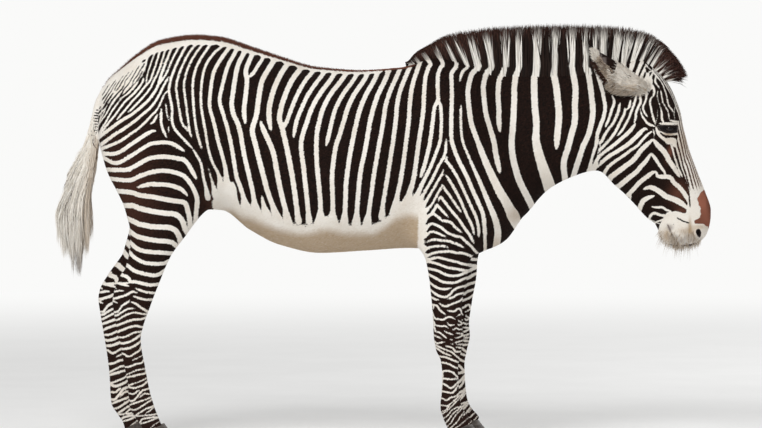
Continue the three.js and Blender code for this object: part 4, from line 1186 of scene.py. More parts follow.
def make_object(name, vertices, faces, smooth=True):
    """A mesh object from arrays of points in millimetres and of triangles."""
    mesh = bpy.data.meshes.new(name)
    mesh.vertices.add(len(vertices))
    mesh.vertices.foreach_set("co", (vertices * MM).astype(np.float32).ravel())
    mesh.loops.add(faces.size)
    mesh.loops.foreach_set("vertex_index", faces.astype(np.int32).ravel())
    mesh.polygons.add(len(faces))
    size = faces.shape[1]
    mesh.polygons.foreach_set("loop_start", np.arange(0, faces.size, size, dtype=np.int32))
    mesh.polygons.foreach_set("use_smooth", np.full(len(faces), smooth))
    mesh.update(calc_edges=True)
    made = bpy.data.objects.new(name, mesh)
    bpy.context.scene.collection.objects.link(made)
    return made


def set_values(made, name, values):
    kind = "FLOAT" if values.ndim == 1 else "FLOAT_VECTOR"
    attribute = made.data.attributes.new(name, kind, "POINT")
    field = "value" if values.ndim == 1 else "vector"
    attribute.data.foreach_set(field, values.astype(np.float32).ravel())


def set_uv(made, corners):
    layer = made.data.uv_layers.new(name="OFBake")
    layer.data.foreach_set("uv", corners.astype(np.float32).ravel())


def finish_piece(made, material, replaced=()):
    made.data.materials.append(material)
    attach(made, "root")
    if replaced:
        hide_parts(*replaced)
    return made


# ---------------------------------------------------------------- materials

def colour(red, green, blue):
    """A colour written as on a screen, 0 to 255."""
    def linear(v):
        v = v / 255
        return v / 12.92 if v <= 0.04045 else ((v + 0.055) / 1.055) ** 2.4
    return (linear(red), linear(green), linear(blue), 1.0)


class Shader:
    """A material's node tree, built by short calls."""

    def __init__(self, name):
        self.material = bpy.data.materials.new(name)
        self.material.use_nodes = True
        self.tree = self.material.node_tree
        self.tree.nodes.clear()
        self.surface = self.tree.nodes.new("ShaderNodeBsdfPrincipled")
        self.output = self.tree.nodes.new("ShaderNodeOutputMaterial")
        self.tree.links.new(self.surface.outputs[0], self.output.inputs[0])

    def node(self, kind, inputs=(), **settings):
        made = self.tree.nodes.new("ShaderNode" + kind)
        for key, value in settings.items():
            setattr(made, key, value)
        for key, value in dict(inputs).items():
            self.put(made.inputs[key], value)
        return made

    def put(self, socket, value):
        if isinstance(value, bpy.types.NodeSocket):
            self.tree.links.new(value, socket)
        else:
            socket.default_value = value

    def attribute(self, name, output="Fac"):
        return self.node("Attribute", attribute_name=name).outputs[output]

    def parts(self, vector):
        return self.node("SeparateXYZ", {0: vector}).outputs

    def maths(self, operation, *values):
        return self.node("Math", dict(enumerate(values)), operation=operation).outputs[0]

    def ramp(self, value, low, high, to_low=0.0, to_high=1.0):
        inputs = {0: value, 1: low, 2: high, 3: to_low, 4: to_high}
        return self.node("MapRange", inputs, interpolation_type="SMOOTHSTEP").outputs[0]

    def mix(self, factor, a, b):
        made = self.node("Mix", data_type="RGBA")
        self.put(made.inputs[0], factor)
        self.put(made.inputs[6], a)
        self.put(made.inputs[7], b)
        return made.outputs[2]

    def noise(self, scale, stretch=(1, 1, 1), turn=0.0, detail=3.0, rough=0.55):
        place = self.node("TexCoord").outputs["Object"]
        turned = self.node("Mapping", {"Vector": place, "Rotation": (0, turn, 0)}).outputs[0]
        moved = self.node("Mapping", {"Vector": turned, "Scale": stretch}).outputs[0]
        inputs = {"Vector": moved, "Scale": scale, "Detail": detail, "Roughness": rough}
        return self.node("TexNoise", inputs).outputs[0]

    def bump(self, height, strength, distance):
        inputs = {"Strength": strength, "Distance": distance, "Height": height}
        self.put(self.surface.inputs["Normal"], self.node("Bump", inputs).outputs[0])

    def set(self, **values):
        names = {"base": "Base Color", "rough": "Roughness", "coat": "Coat Weight",
                 "coat_rough": "Coat Roughness", "sheen": "Sheen Weight",
                 "sheen_rough": "Sheen Roughness", "specular": "Specular IOR Level"}
        for key, value in values.items():
            self.put(self.surface.inputs[names[key]], value)
        return self.material


BLACK_HAIR, BROWN_HAIR = colour(15, 11, 10), colour(154, 98, 79)
# The tan is the white hair's own tan in places, and also the colour of painted shade on the belly, in the
# ears and on the tail brush's front side.
WHITE_HAIR, TAN_AND_SHADE_HAIR = colour(243, 238, 230), colour(181, 158, 130)
# The grey is that of bare nose skin, and also the grey of the painted shade in the ears.
DARK_SKIN, NOSE_SKIN_AND_SHADE = colour(24, 20, 20), colour(120, 110, 106)
BACKDROP = colour(250, 250, 249)


def coat_material(name, edge, fur_bump):
    """Black and white hair parted by the stripe attribute, with its warm, tan and bare places; the tan
    and bare places include painted shade on the belly and in the ears.
    """
    s = Shader(name)
    warm, tan, bare_skin_and_shade = s.parts(s.attribute("tint", "Vector"))
    ragged = s.maths("MULTIPLY_ADD", s.noise(150, detail=2), 4.4, -2.2)
    fine = s.maths("MULTIPLY_ADD", s.noise(600, detail=2), 2.4, -1.2)
    inside = s.maths("ADD", s.attribute("stripe"), s.maths("ADD", ragged, fine))
    white = s.ramp(inside, -edge, edge)
    mottle = s.noise(9, detail=4)
    fleck = s.ramp(s.noise(420, (0.35, 1, 1)), 0.35, 0.7)
    black = s.mix(warm, s.mix(fleck, BLACK_HAIR, colour(27, 21, 18)), BROWN_HAIR)
    pale = s.mix(s.ramp(mottle, 0.3, 0.8), WHITE_HAIR, colour(228, 219, 206))
    pale = s.mix(s.maths("MULTIPLY", fleck, 0.35), pale, colour(250, 246, 240))
    pale = s.mix(tan, pale, TAN_AND_SHADE_HAIR)
    hair = s.mix(white, black, pale)
    skin = s.mix(s.ramp(s.noise(260), 0.35, 0.7), DARK_SKIN, colour(48, 42, 41))
    grey = s.mix(s.ramp(s.noise(140), 0.35, 0.7), NOSE_SKIN_AND_SHADE, colour(146, 134, 127))
    base = s.mix(s.ramp(bare_skin_and_shade, 0.04, 0.46), hair, grey)
    base = s.mix(s.ramp(bare_skin_and_shade, 0.54, 0.94), base, skin)
    legs = s.attribute("down")
    flank = s.noise(1100, (0.1, 1, 1), turn=0.55, detail=2)
    lower = s.noise(1100, (1, 1, 0.1), detail=2)
    streak = s.maths("ADD", s.maths("MULTIPLY", lower, legs),
                     s.maths("MULTIPLY", flank, s.maths("SUBTRACT", 1.0, legs)))
    s.bump(streak, fur_bump, 0.0012)
    rough = s.ramp(bare_skin_and_shade, 0, 1, 0.72, 0.42)
    return s.set(base=base, rough=s.maths("ADD", rough, s.maths("MULTIPLY", mottle, 0.1)),
                 specular=0.05)


def hair_material(name):
    """Long hair: black or white by the stripe attribute, with brown-black tips, and tan places that on
    the tail brush's front side are painted shade.
    """
    s = Shader(name)
    warm, tan, tip = s.parts(s.attribute("tint", "Vector"))
    white = s.ramp(s.attribute("stripe"), -1.5, 1.5)
    fleck = s.ramp(s.noise(300, (1, 1, 0.1)), 0.3, 0.7)
    black = s.mix(warm, s.mix(fleck, colour(18, 14, 13), colour(36, 28, 25)), colour(100, 66, 50))
    pale = s.mix(tan, s.mix(fleck, colour(230, 225, 215), colour(252, 249, 243)), TAN_AND_SHADE_HAIR)
    hair = s.mix(white, black, pale)
    base = s.mix(tip, hair, s.mix(fleck, colour(30, 20, 18), colour(84, 56, 47)))
    s.bump(s.noise(900, (1, 1, 0.05)), 0.4, 0.001)
    return s.set(base=base, rough=s.maths("MULTIPLY_ADD", fleck, 0.15, 0.6), specular=0.08)


def horn_material():
    s = Shader("hoof_horn")
    height = s.attribute("rise")
    rings = s.noise(26, (0.35, 0.35, 6), detail=3)
    streaks = s.noise(190, (1, 1, 0.08), detail=3)
    base = s.mix(s.ramp(rings, 0.35, 0.65), colour(52, 46, 43), colour(88, 80, 74))
    base = s.mix(s.maths("MULTIPLY", s.ramp(streaks, 0.45, 0.75), 0.5), base, colour(112, 100, 90))
    base = s.mix(s.ramp(height, 0.25, 0.0, 0.0, 0.6), base, colour(120, 108, 94))
    s.bump(s.maths("ADD", rings, streaks), 0.5, 0.002)
    return s.set(base=base, rough=s.maths("MULTIPLY_ADD", streaks, 0.25, 0.42), specular=0.4)


def eye_material():
    """A dark brown iris with a wide level pupil, under a clear wet coat."""
    s = Shader("eye")
    level, height, _ = s.parts(s.attribute("gaze", "Vector"))
    stretched = s.maths("MULTIPLY", height, 1.9)
    pupil = s.maths("SQRT", s.maths("ADD", s.maths("MULTIPLY", level, level),
                                    s.maths("MULTIPLY", stretched, stretched)))
    radius = s.maths("SQRT", s.maths("ADD", s.maths("MULTIPLY", level, level),
                                     s.maths("MULTIPLY", height, height)))
    fibres = s.noise(500, detail=4)
    iris = s.mix(fibres, colour(18, 11, 9), colour(40, 24, 17))
    base = s.mix(s.ramp(pupil, 9.0, 10.2), colour(10, 9, 12), iris)
    base = s.mix(s.ramp(radius, 15.0, 17.0), base, colour(24, 17, 15))
    s.bump(fibres, 0.05, 0.0005)
    return s.set(base=base, rough=s.maths("MULTIPLY_ADD", fibres, 0.1, 0.12), specular=0.1,
                 coat=0.4, coat_rough=0.02)


def floor_material():
    """A pale floor that takes the shadow and fades into the white studio behind."""
    s = Shader("floor")
    base = s.mix(s.ramp(s.noise(2), 0.3, 0.7), colour(240, 240, 239), colour(243, 243, 242))
    s.set(base=base, rough=0.9, specular=0.1)
    place = s.node("TexCoord").outputs["Object"]
    away = s.node("VectorMath", {0: place}, operation="LENGTH").outputs["Value"]
    seen = s.node("LightPath").outputs["Is Camera Ray"]
    far = s.maths("MULTIPLY", s.ramp(away, 3.0, 11.0), seen)
    light = s.node("Emission", {0: BACKDROP}).outputs[0]
    mix = s.node("MixShader", {0: far, 1: s.surface.outputs[0], 2: light}).outputs[0]
    s.put(s.output.inputs[0], mix)
    return s.material


# ---------------------------------------------------------------- tints of the coat, and its painted shade

def spot(p, x, z, rx, rz, turn=0.0):
    """1 at a place of the side view, falling to 0 around it."""
    c, s = math.cos(math.radians(turn)), math.sin(math.radians(turn))
    dx, dz = p[:, 0] - x, p[:, 2] - z
    a, b = (dx * c - dz * s) / rx, (dx * s + dz * c) / rz
    return np.exp(-a * a - b * b)


def spots(p, rows):
    """The sum of spots: a strength, then x, z, half lengths and sometimes a turn."""
    return sum(strength * spot(p, *place) for strength, *place in rows)


def warm_hair(p, head, along, up):
    """How warm the black hair is: brown on the nose, the back's stripe and a few places."""
    patch = smoothstep(16, 0, nose_patch(p, along) - up) * smoothstep(100, 60, up)
    warm = spots(p, [(0.13, -950, 930, 110, 200), (0.16, -600, 900, 60, 60)])
    warm += head * smoothstep(-10, 40, up - face_edge(along)) * 0.3
    warm += head * (along > 480) * (0.55 * patch + 0.4 * spot(p, 1190, 905, 20, 30))
    warm += spots(p, [(0.4, 1067, 1085, 11, 34, 15), (0.3, 1100, 930, 34, 40)])
    warm += 0.25 * spot(p, 1115, 865, 24, 14)
    return warm + 0.03 * smoothstep(700, 400, p[:, 2]) + 0.02 + 0.5 * on_dorsal(p)


def tan_hair_and_belly_shade(p, head, up):
    """How tan the white hair is: on the belly, the face's front, the lips and the low legs. On the belly
    the tan is partly the coat's own colour and partly painted shade of the underside.
    """
    # The belly's tan towards the underside is partly the coat's own tan and partly painted shade.
    under = smoothstep(-6, 40, belly_edge(p[:, 0]) - 14 - p[:, 2])
    under *= smoothstep(-660, -540, p[:, 0]) * (p[:, 0] < 130) * (p[:, 2] > 640)
    tan = 0.9 * under + 0.22 * head * smoothstep(30, 80, up)
    tan += spots(p, [(0.5, 490, 850, 50, 30), (0.5, 415, 735, 40, 40), (0.35, 1060, 1130, 34, 16),
                     (0.45, 1112, 1110, 26, 70, 16), (0.8, 1062, 1151, 26, 6),
                     (0.7, 1144, 812, 6, 30), (0.9, 1060, 772, 16, 26), (0.6, 1150, 785, 18, 22),
                     (0.5, 1120, 790, 24, 12), (0.6, 1180, 804, 24, 9)])
    return tan + 0.12 * smoothstep(500, 200, p[:, 2]) * (p[:, 0] < 600)


def bare_skin(p, along, up):
    """Where dark skin is bare: wholly round the eye and in the nostrils, partly on the lips."""
    a, b = p[:, 0] - EYE[0], p[:, 2] - EYE[1]
    lower = -15.5 + 0.0025 * (a - 6) ** 2 + 3.2e-6 * (a - 6) ** 4
    eye_skin = smoothstep(-1.5, 0.8, np.minimum(13.6 - b, b - lower)) * (np.abs(p[:, 1]) > 50)
    eye_skin *= smoothstep(-47, -42, a) * smoothstep(35, 29, a)
    nostril = smoothstep(-0.16, 0.02, nostril_opening(p)) * (np.abs(p[:, 1]) > 8)
    lips = smoothstep(5.0, 2.0, np.abs(up - mouth_line(along))) * smoothstep(572, 590, along)
    lips *= p[:, 0] > 900
    muzzle = smoothstep(795, 755, p[:, 2]) * (p[:, 0] > 1075) * smoothstep(1210, 1180, p[:, 0])
    mottle = 1 + 0.26 * np.sin(p[:, 0] / 6.5 + p[:, 1] / 14) * np.sin(p[:, 2] / 7 - p[:, 1] / 11)
    muzzle = np.maximum(0.235 * muzzle * mottle, 0.3 * spot(p, 1070, 802, 17, 14))
    lid = 0.2 * spot(p, 1062, 1151, 28, 6)
    return np.maximum.reduce([eye_skin, nostril, 0.42 * lips, muzzle, lid])


def tints(p):
    """How warm the black hair is, how tan the white hair is, with painted shade on the belly, and where
    dark skin is bare.
    """
    along, up = head_frame(p)
    head = smoothstep(120, 240, along) * (p[:, 0] > 850)
    columns = [warm_hair(p, head, along, up), tan_hair_and_belly_shade(p, head, up), bare_skin(p, along, up)]
    return np.clip(np.column_stack(columns), 0, 1)


# ---------------------------------------------------------------- the skin's unwrap

PARTS = ["trunk", "neck", "head", "hind_right", "hind_left", "fore_right", "fore_left", "tail",
         "ear_right", "ear_left"]
# Places in PARTS; the left one of a pair is the next.
NECK, HEAD, HIND, FORE, TAIL, EARS = 1, 2, 3, 5, 7, 8
SHARE = {"head": 1.9, "ear_right": 1.4, "ear_left": 1.4, "neck": 1.1}
CHART_GAP = 14.0
# How wide a tuft's patch of the map is, and how bare the skin may be under a tuft.
PATCH, BARE = 0.003, 0.3


def part_of(p):
    """Which part of the body a point belongs to, as a place in PARTS."""
    x, y, z = p.T
    part = np.zeros(len(p), int)
    part[x > 205 + (1440 - z) * 0.5] = NECK
    part[x > 925 - (1440 - z) * 0.284] = HEAD
    left = (y > 0).astype(int)
    hind = (x < -560) & (z < 900 + np.maximum(-600 - x, 0) * 0.44)
    part[hind] = HIND + left[hind]
    fore = (x > 80) & (x < 480) & (z < 790)
    part[fore] = FORE + left[fore]
    part[(x < -1052) & (np.abs(y) < 30) & (z > 1040)] = TAIL
    return part


def charts_of(p, triangles, part):
    """Each triangle's chart, by its part and the way it looks, and its corners laid flat."""
    face = across_faces(p, triangles)
    axis = np.abs(face).argmax(1)
    facing = np.take_along_axis(face, axis[:, None], 1)[:, 0] > 0
    flat = np.empty((len(triangles), 3, 2))
    for k, keep in enumerate(((1, 2), (0, 2), (0, 1))):
        flat[axis == k] = p[triangles[axis == k]][:, :, keep]
    return part * 6 + axis * 2 + facing, flat


def pack_rows(boxes):
    """Places charts' boxes in rows on a square, and returns the places and the square's side."""
    width = 1000.0
    while True:
        places, x, y, row = {}, 0.0, 0.0, 0.0
        for c, w, h in boxes:
            if x + w > width:
                x, y, row = 0.0, y + row, 0.0
            places[c] = (x, y)
            x, row = x + w, max(row, h)
        if y + row <= width:
            return places, width
        width *= 1.02


def unwrap(p, triangles, part):
    """Charts by part and by the way faces look, laid flat and packed in rows."""
    chart, flat = charts_of(p, triangles, part)
    boxes = []
    for c in np.unique(chart):
        own = chart == c
        flat[own] *= SHARE.get(PARTS[c // 6], 1.0)
        flat[own] -= flat[own].reshape(-1, 2).min(0)
        boxes.append((c, *(flat[own].reshape(-1, 2).max(0) + CHART_GAP)))
    places, width = pack_rows(sorted(boxes, key=lambda box: -box[2]))
    for c, place in places.items():
        flat[chart == c] += np.array(place) + CHART_GAP / 2
    return flat / width


# ---------------------------------------------------------------- the skin

def build_skin(canvas):
    vertices, triangles = skin_mesh()
    normal = unit(slope_of(skin_field, vertices)[1])
    shape = sculpt(vertices, normal)
    stripe = markings(canvas, vertices, normal)
    tint = tints(vertices)
    part = part_of(vertices)
    for k, side in enumerate((RIGHT, LEFT)):
        ear, faces, inner = ear_mesh(side)
        triangles = np.concatenate([triangles, faces + len(shape)])
        shape = np.concatenate([shape, ear])
        stripe = np.concatenate([stripe, ear_markings(ear)])
        tint = np.concatenate([tint, ear_tints_and_shade(ear, inner)])
        part = np.concatenate([part, np.full(len(ear), EARS + k)])
    normal = vertex_normals(shape, triangles)
    down = smoothstep(900, 700, shape[:, 2]) + smoothstep(500, 700, shape[:, 0])
    uv = unwrap(shape, triangles, part[triangles[:, 0]])
    made = make_object("skin", shape, triangles)
    set_values(made, "stripe", stripe)
    set_values(made, "tint", tint)
    set_values(made, "down", np.clip(down, 0, 1))
    set_uv(made, uv.reshape(-1, 2))
    return made, {"points": shape, "faces": triangles, "normal": normal, "stripe": stripe,
                  "tint": tint, "part": part, "uv": uv, "down": down}


# ---------------------------------------------------------------- eyes and hooves

def eye_mesh(side):
    """The eyeball with its raised cornea, and each point's place from the gaze."""
    rings, turns = 48, 64
    outward = unit(np.array([0.32, side * 0.94, 0.06]))
    level = unit(np.cross([0, 0, 1.0], outward))
    upward = np.cross(outward, level)
    angle = np.linspace(0, math.pi, rings)[:, None]
    round_ = np.linspace(0, 2 * math.pi, turns, endpoint=False)[None, :]
    radius = EYE_RADIUS - 0.2 + 1.3 * np.exp(-(np.degrees(angle) / 34) ** 4)
    across, out = radius * np.sin(angle), radius * np.cos(angle)
    a, b = across * np.cos(round_), across * np.sin(round_)
    centre = np.array([EYE[0], side * EYE_OUT, EYE[1]])
    points = (centre + a[..., None] * level + b[..., None] * upward
              + (out + 0 * round_)[..., None] * outward).reshape(-1, 3)
    gaze = np.stack([a, b, out + 0 * round_], -1).reshape(-1, 3)
    gaze[gaze[:, 2] < 0, :2] = 40
    return points, ring_faces(rings, turns)[:, ::-1], gaze


def shrunk(ring, k, rise):
    """A ring drawn in towards its centre by a factor, and lifted."""
    centre = ring.mean(0)
    return centre + (ring - centre) * k + [0, 0, rise]


def hoof_mesh(end, side):
    """The hoof's wall from the coronet to the ground, with growth rings and a hollowed sole."""
    hoof, toe_x = HOOVES[end], hoof_toe(end, side)
    front, back = coronet(end, side)
    turns, levels = 96, 40
    angle = np.linspace(0, 2 * math.pi, turns, endpoint=False)[None, :]
    share = np.linspace(0, 1, levels)[:, None]
    forward = (np.cos(angle) + 1) / 2
    sole = toe_x - hoof["length"] * (1 - forward)
    rim = back[0] + (front[0] - back[0]) * forward
    broad = hoof["width"] / 2 * (1 - HOOF_TAPER * share) * (1 - 0.08 * (1 - forward))
    ripple = 0.5 * np.sin(share * 46 + 2 * np.sin(angle)) * smoothstep(0, 0.1, share)
    swell = ripple + 1.6 * np.exp(-((share - 0.95) / 0.05) ** 2) - 1.2 * smoothstep(0.03, 0, share)
    x = sole + (rim - sole) * share + swell * np.cos(angle)
    y = side * hoof["track"] + (broad + swell) * np.sin(angle)
    z = share * (back[1] + (front[1] - back[1]) * forward)
    wall = np.stack([x, y, z], -1)
    cleft = np.exp(-(np.sin(angle) / 0.25) ** 2) * (np.cos(angle) < 0)
    wall[..., 0] += cleft * 9 * (1 - share * 0.5)
    under = [shrunk(wall[0], k, h) for k, h in ((0.02, 6.0), (0.84, 4.0), (0.93, 0.0))]
    over = [shrunk(wall[-1], k, -h) for k, h in ((0.9, 1.5), (0.02, 8.0))]
    rings = np.concatenate([np.array(under), wall, np.array(over)])
    points = rings.reshape(-1, 3)
    rise = np.clip(points[:, 2] / hoof["toe"], 0, 1)
    return points, ring_faces(len(rings), turns), rise


def build_eyes():
    material = eye_material()
    for side, name in ((RIGHT, "right"), (LEFT, "left")):
        points, faces, gaze = eye_mesh(side)
        made = make_object(f"eyeball_{name}", points, faces)
        set_values(made, "gaze", gaze)
        finish_piece(made, material, [f"eye_{name}"])


def build_hooves():
    material = horn_material()
    for end in HOOVES:
        for side, name in ((RIGHT, "right"), (LEFT, "left")):
            points, faces, rise = hoof_mesh(end, side)
            made = make_object(f"horn_{end}_{name}", points, faces)
            set_values(made, "rise", rise)
            finish_piece(made, material, [f"hoof_{end}_{name}"])


# ---------------------------------------------------------------- hair

def strands(path, wide, thin, across):
    """Closed three-sided hairs along paths (hair, step, 3), ending in a point."""
    count, steps, _ = path.shape
    tangent = unit(np.gradient(path, axis=1))
    side = across[:, None, :] - (across[:, None, :] * tangent).sum(-1, keepdims=True) * tangent
    side = unit(side)
    other = np.cross(tangent, side)
    rings = []
    for turn in (0, 1, 2):
        angle = 2 * math.pi * turn / 3 + math.pi / 2
        rings.append(path + side * (math.cos(angle) * wide)[..., None]
                     + other * (math.sin(angle) * thin)[..., None])
    rings = np.stack(rings, 2)[:, :-1]
    body = rings.reshape(count, -1, 3)
    points = np.concatenate([body, path[:, -1:]], axis=1)
    per = points.shape[1]
    faces = []
    for k in range(steps - 2):
        for t in range(3):
            a, b = 3 * k + t, 3 * k + (t + 1) % 3
            faces += [(a, b, b + 3), (a, b + 3, a + 3)]
    last = 3 * (steps - 2)
    faces += [(last + t, last + (t + 1) % 3, per - 1) for t in range(3)]
    faces.append((2, 1, 0))
    faces = np.array(faces)
    everything = (faces[None] + per * np.arange(count)[:, None, None]).reshape(-1, 3)
    share = np.concatenate([np.repeat(np.arange(steps - 1), 3), [steps - 1]]) / (steps - 1)
    return points.reshape(-1, 3), everything, np.tile(share, count), per


def bake_map(made, faces, roots, per, surface):
    """The OFBake map of a piece of hair: each hair a small patch where its root meets the skin."""
    middles = surface["points"][surface["faces"]].mean(1)
    low, high = roots.min(0) - 40, roots.max(0) + 40
    near = np.flatnonzero(((middles > low) & (middles < high)).all(1))[::3]
    tree = KDTree(len(near))
    for k, place in enumerate(middles[near]):
        tree.insert(place, k)
    tree.balance()
    found = np.array([tree.find(root)[1] for root in roots])
    place = surface["uv"][near[found]].mean(1)
    turn = 2 * math.pi * np.arange(per) / per
    patch = PATCH / 2 * np.column_stack([np.cos(turn), np.sin(turn)])
    uv = (place[:, None, :] + patch[None]).reshape(-1, 2)
    set_uv(made, uv[faces.ravel()])


# The mane's outline: its tips, its roots hidden in the neck, and its half thickness.
mane_tip = line((94, 1420), (125, 1457), (165, 1482), (213, 1512), (269, 1534), (340, 1548),
                (437, 1560), (624, 1568), (811, 1566), (886, 1560), (942, 1549), (990, 1533),
                (1030, 1507), (1073, 1467), (1110, 1423), (1144, 1372))
mane_root = line((94, 1392), (176, 1396), (420, 1374), (740, 1376), (900, 1386), (980, 1378),
                 (1040, 1360), (1090, 1346), (1144, 1352))
mane_half = line((94, 8), (150, 17), (300, 24), (900, 26), (1060, 30), (1144, 16))
MANE_HAIRS, FORELOCK_HAIRS, MANE_STEPS = 9600, 2400, 4
# How much of the mane's height is banded before its dark ends.
mane_white = line((94, 0.25), (150, 0.45), (230, 0.56), (300, 0.54), (430, 0.6), (560, 0.72),
                  (700, 0.77), (940, 0.72), (1010, 0.6))


def mane_band(canvas, x, z):
    """The neck's stripes carried up into the mane. The hair roots hidden inside the neck, and
    the stripe there is set so that it is right where the hair comes into sight."""
    foot = mane_base(x)
    seen = np.minimum(mane_root(x) + 13, foot - 5)
    share = np.clip((seen - z) / (foot - z).clip(1), 0, 0.75)
    band = read_map(canvas, x, np.minimum(z, foot))
    hidden = (read_map(canvas, x, seen) - share * read_map(canvas, x, foot)) / (1 - share)
    band = np.where(z < seen, hidden, band)
    share = smoothstep(786, 806, x)
    return band * (1 - share) + front_band(x) * share


# How far along a hair of the mane its steps are.
RISES = (0, 0.25, 0.6, 1)


def mane_paths():
    """Hairs along the crest: the root, where it leaves the crest, its middle and its tip."""
    x = np.sort(random.uniform(88, 1004, MANE_HAIRS))
    spread = random.normal(0, 0.5, MANE_HAIRS).clip(-1, 1)
    root_z = mane_root(x) - 14 - 9 * spread ** 2
    base_z = np.maximum(mane_base(x), root_z + 12)
    lean = mane_lean(x) + 0.06 * random.normal(0, 1, MANE_HAIRS)
    tall = (mane_tip(x) - base_z) * random.uniform(0.82, 1.0, MANE_HAIRS)
    tall *= 1 - 0.14 * spread ** 2
    sway = spread * 7 + random.normal(0, 3, MANE_HAIRS)
    start_y = spread * (mane_half(x) - 2)
    path = np.empty((MANE_HAIRS, MANE_STEPS, 3))
    for step, (rise, side) in enumerate(((0, 0), (0, 0.15), (0.7, 0.7), (1, 1))):
        path[:, step, 0] = x + lean * tall * rise
        path[:, step, 1] = start_y + sway * side
        path[:, step, 2] = base_z + tall * rise
    path[:, 0, 2] = root_z
    top = mane_tip(path[..., 0]) + random.uniform(-16, 1, (MANE_HAIRS, 1))
    path[..., 2] = np.minimum(path[..., 2], top)
    return x, path


def forelock_paths():
    """Hairs that fan forward from the poll over the forehead."""
    place = random.uniform(0, 1, FORELOCK_HAIRS)
    along = 66 * place
    up = skull_high(along) - 10
    spread = random.normal(0, 0.5, FORELOCK_HAIRS).clip(-1, 1)
    root_x, root_z = head_point(along, up)
    root = np.column_stack([root_x, spread * 24, root_z - 5 * spread ** 2])
    turn = np.radians(34 + 42 * place + random.normal(0, 7, FORELOCK_HAIRS))
    length = (160 - 50 * place) * random.uniform(0.4, 1.0, FORELOCK_HAIRS)
    path = np.empty((FORELOCK_HAIRS, MANE_STEPS, 3))
    for step, share in enumerate(RISES):
        bend = turn * (0.92 + 0.16 * share)
        path[:, step, 0] = root[:, 0] + length * share * np.sin(bend)
        path[:, step, 1] = root[:, 1] + spread * 7 * share
        path[:, step, 2] = root[:, 2] + length * share * np.cos(bend)
    top = mane_tip(path[..., 0]) + random.uniform(-14, 2, (FORELOCK_HAIRS, 1))
    path[..., 2] = np.minimum(path[..., 2], top)
    path[..., 0] = np.minimum(path[..., 0], random.uniform(1112, 1142, (FORELOCK_HAIRS, 1)))
    return place, path


def mane_looks(canvas, points, crest_x, lock_place, along, per):
    """The stripe and tint values of the mane's and the forelock's points."""
    count = MANE_HAIRS + FORELOCK_HAIRS
    on_crest = np.arange(len(points)) < MANE_HAIRS * per
    root_x = np.repeat(np.concatenate([crest_x, np.zeros(FORELOCK_HAIRS)]), per)
    foot = mane_base(points[:, 0])
    band_x = np.where(points[:, 2] < foot, points[:, 0], root_x)
    lock_band = np.repeat(np.concatenate([crest_x * 0, 5 * np.cos(lock_place * 25)]), per)
    band = np.where(on_crest, mane_band(canvas, band_x, points[:, 2]), lock_band)
    stripe = band + np.repeat(random.normal(0, 0.9, count), per)
    height = (points[:, 2] - foot) / np.maximum(mane_tip(points[:, 0]) - foot, 5)
    limit = mane_white(root_x) + np.repeat(random.normal(0, 0.05, count), per)
    dark_end = smoothstep(limit - 0.06, limit + 0.1, height)
    lock_limit = np.repeat(random.uniform(0.25, 0.6, count), per)
    dark_end = np.where(on_crest, dark_end, smoothstep(lock_limit - 0.1, lock_limit + 0.1, along))
    warm = np.concatenate([random.uniform(0.0, 0.08, MANE_HAIRS),
                           random.uniform(0.05, 0.4, FORELOCK_HAIRS)])
    tan = np.full(len(points), 0.03)
    return stripe, np.column_stack([np.repeat(warm, per), tan, dark_end])


def build_mane(canvas, surface):
    crest_x, crest = mane_paths()
    lock_place, lock = forelock_paths()
    count = MANE_HAIRS + FORELOCK_HAIRS
    path = np.concatenate([crest, lock])
    share = np.array(RISES)[None, :]
    wide = 2.6 * (1 - 0.7 * share ** 2) * random.uniform(0.6, 1.3, (count, 1))
    turn = random.uniform(-0.4, 0.4, count)
    across = np.column_stack([np.cos(turn), np.sin(turn), np.zeros(count)])
    points, faces, along, per = strands(path, wide, wide * 0.25, across)
    stripe, tint = mane_looks(canvas, points, crest_x, lock_place, along, per)
    made = make_object("mane_hair", points, faces, smooth=False)
    set_values(made, "stripe", stripe)
    set_values(made, "tint", tint)
    bake_map(made, faces, path[:, 0], per, surface)
    return finish_piece(made, hair_material("mane_hair"), ["mane"])


BRUSH_HAIRS, BRUSH_STEPS, BRUSH_LOCKS = 5000, 7, 150
# The brush's outline on the side view, behind and in front.
brush_rear = line((690, -1200), (800, -1206), (850, -1207), (900, -1192), (960, -1174),
                  (1000, -1162), (1060, -1135), (1100, -1120), (1180, -1099), (1260, -1081))
brush_front = line((690, -1096), (900, -1096), (1000, -1085), (1060, -1071), (1150, -1061),
                   (1260, -1046))


def brush_plan():
    """Where each of the brush's hairs starts and ends, and how it stands in the brush. The hairs
    are gathered in locks: most reach down to a ragged end, some end on the way and stand off, and
    some are the short fringe of the dock."""
    n, locks = BRUSH_HAIRS, BRUSH_LOCKS
    lock = random.integers(0, locks, n)
    kind = random.uniform(0, 1, locks)[lock]
    loose, short, long = kind < 0.3, random.uniform(0, 1, n) > 0.92, kind > 0.94
    start = np.where(short, random.uniform(1070, 1140, n),
                     1062 + 150 * random.uniform(0, 1, n) ** 1.6)
    end = np.where(loose, random.uniform(740, 1010, locks)[lock],
                   random.uniform(690, 790, locks)[lock]) + random.normal(0, 14, n)
    end = np.where(long, random.uniform(610, 680, n), end)
    end = np.where(short, start - random.uniform(45, 110, n), end)
    edge = np.where(random.uniform(0, 1, locks) < 0.7, -1, 1)[lock]
    place_x, place_y = random.uniform(-0.85, 0.85, (2, locks))[:, lock]
    place_x = np.where(long, 0.4 * place_x, place_x)
    place_x = np.where(loose | short, edge * random.uniform(0.7, 1.0, n), place_x)
    spread = random.normal(0, 0.22, (2, n))
    stand_off = random.uniform(3, 20, locks)[lock] * np.where(edge > 0, 0.5, -1) * loose
    angle = np.arctan2(place_y, place_x) + random.normal(0, 0.5, n)
    return start, end, place_x, place_y, spread, stand_off, angle, long


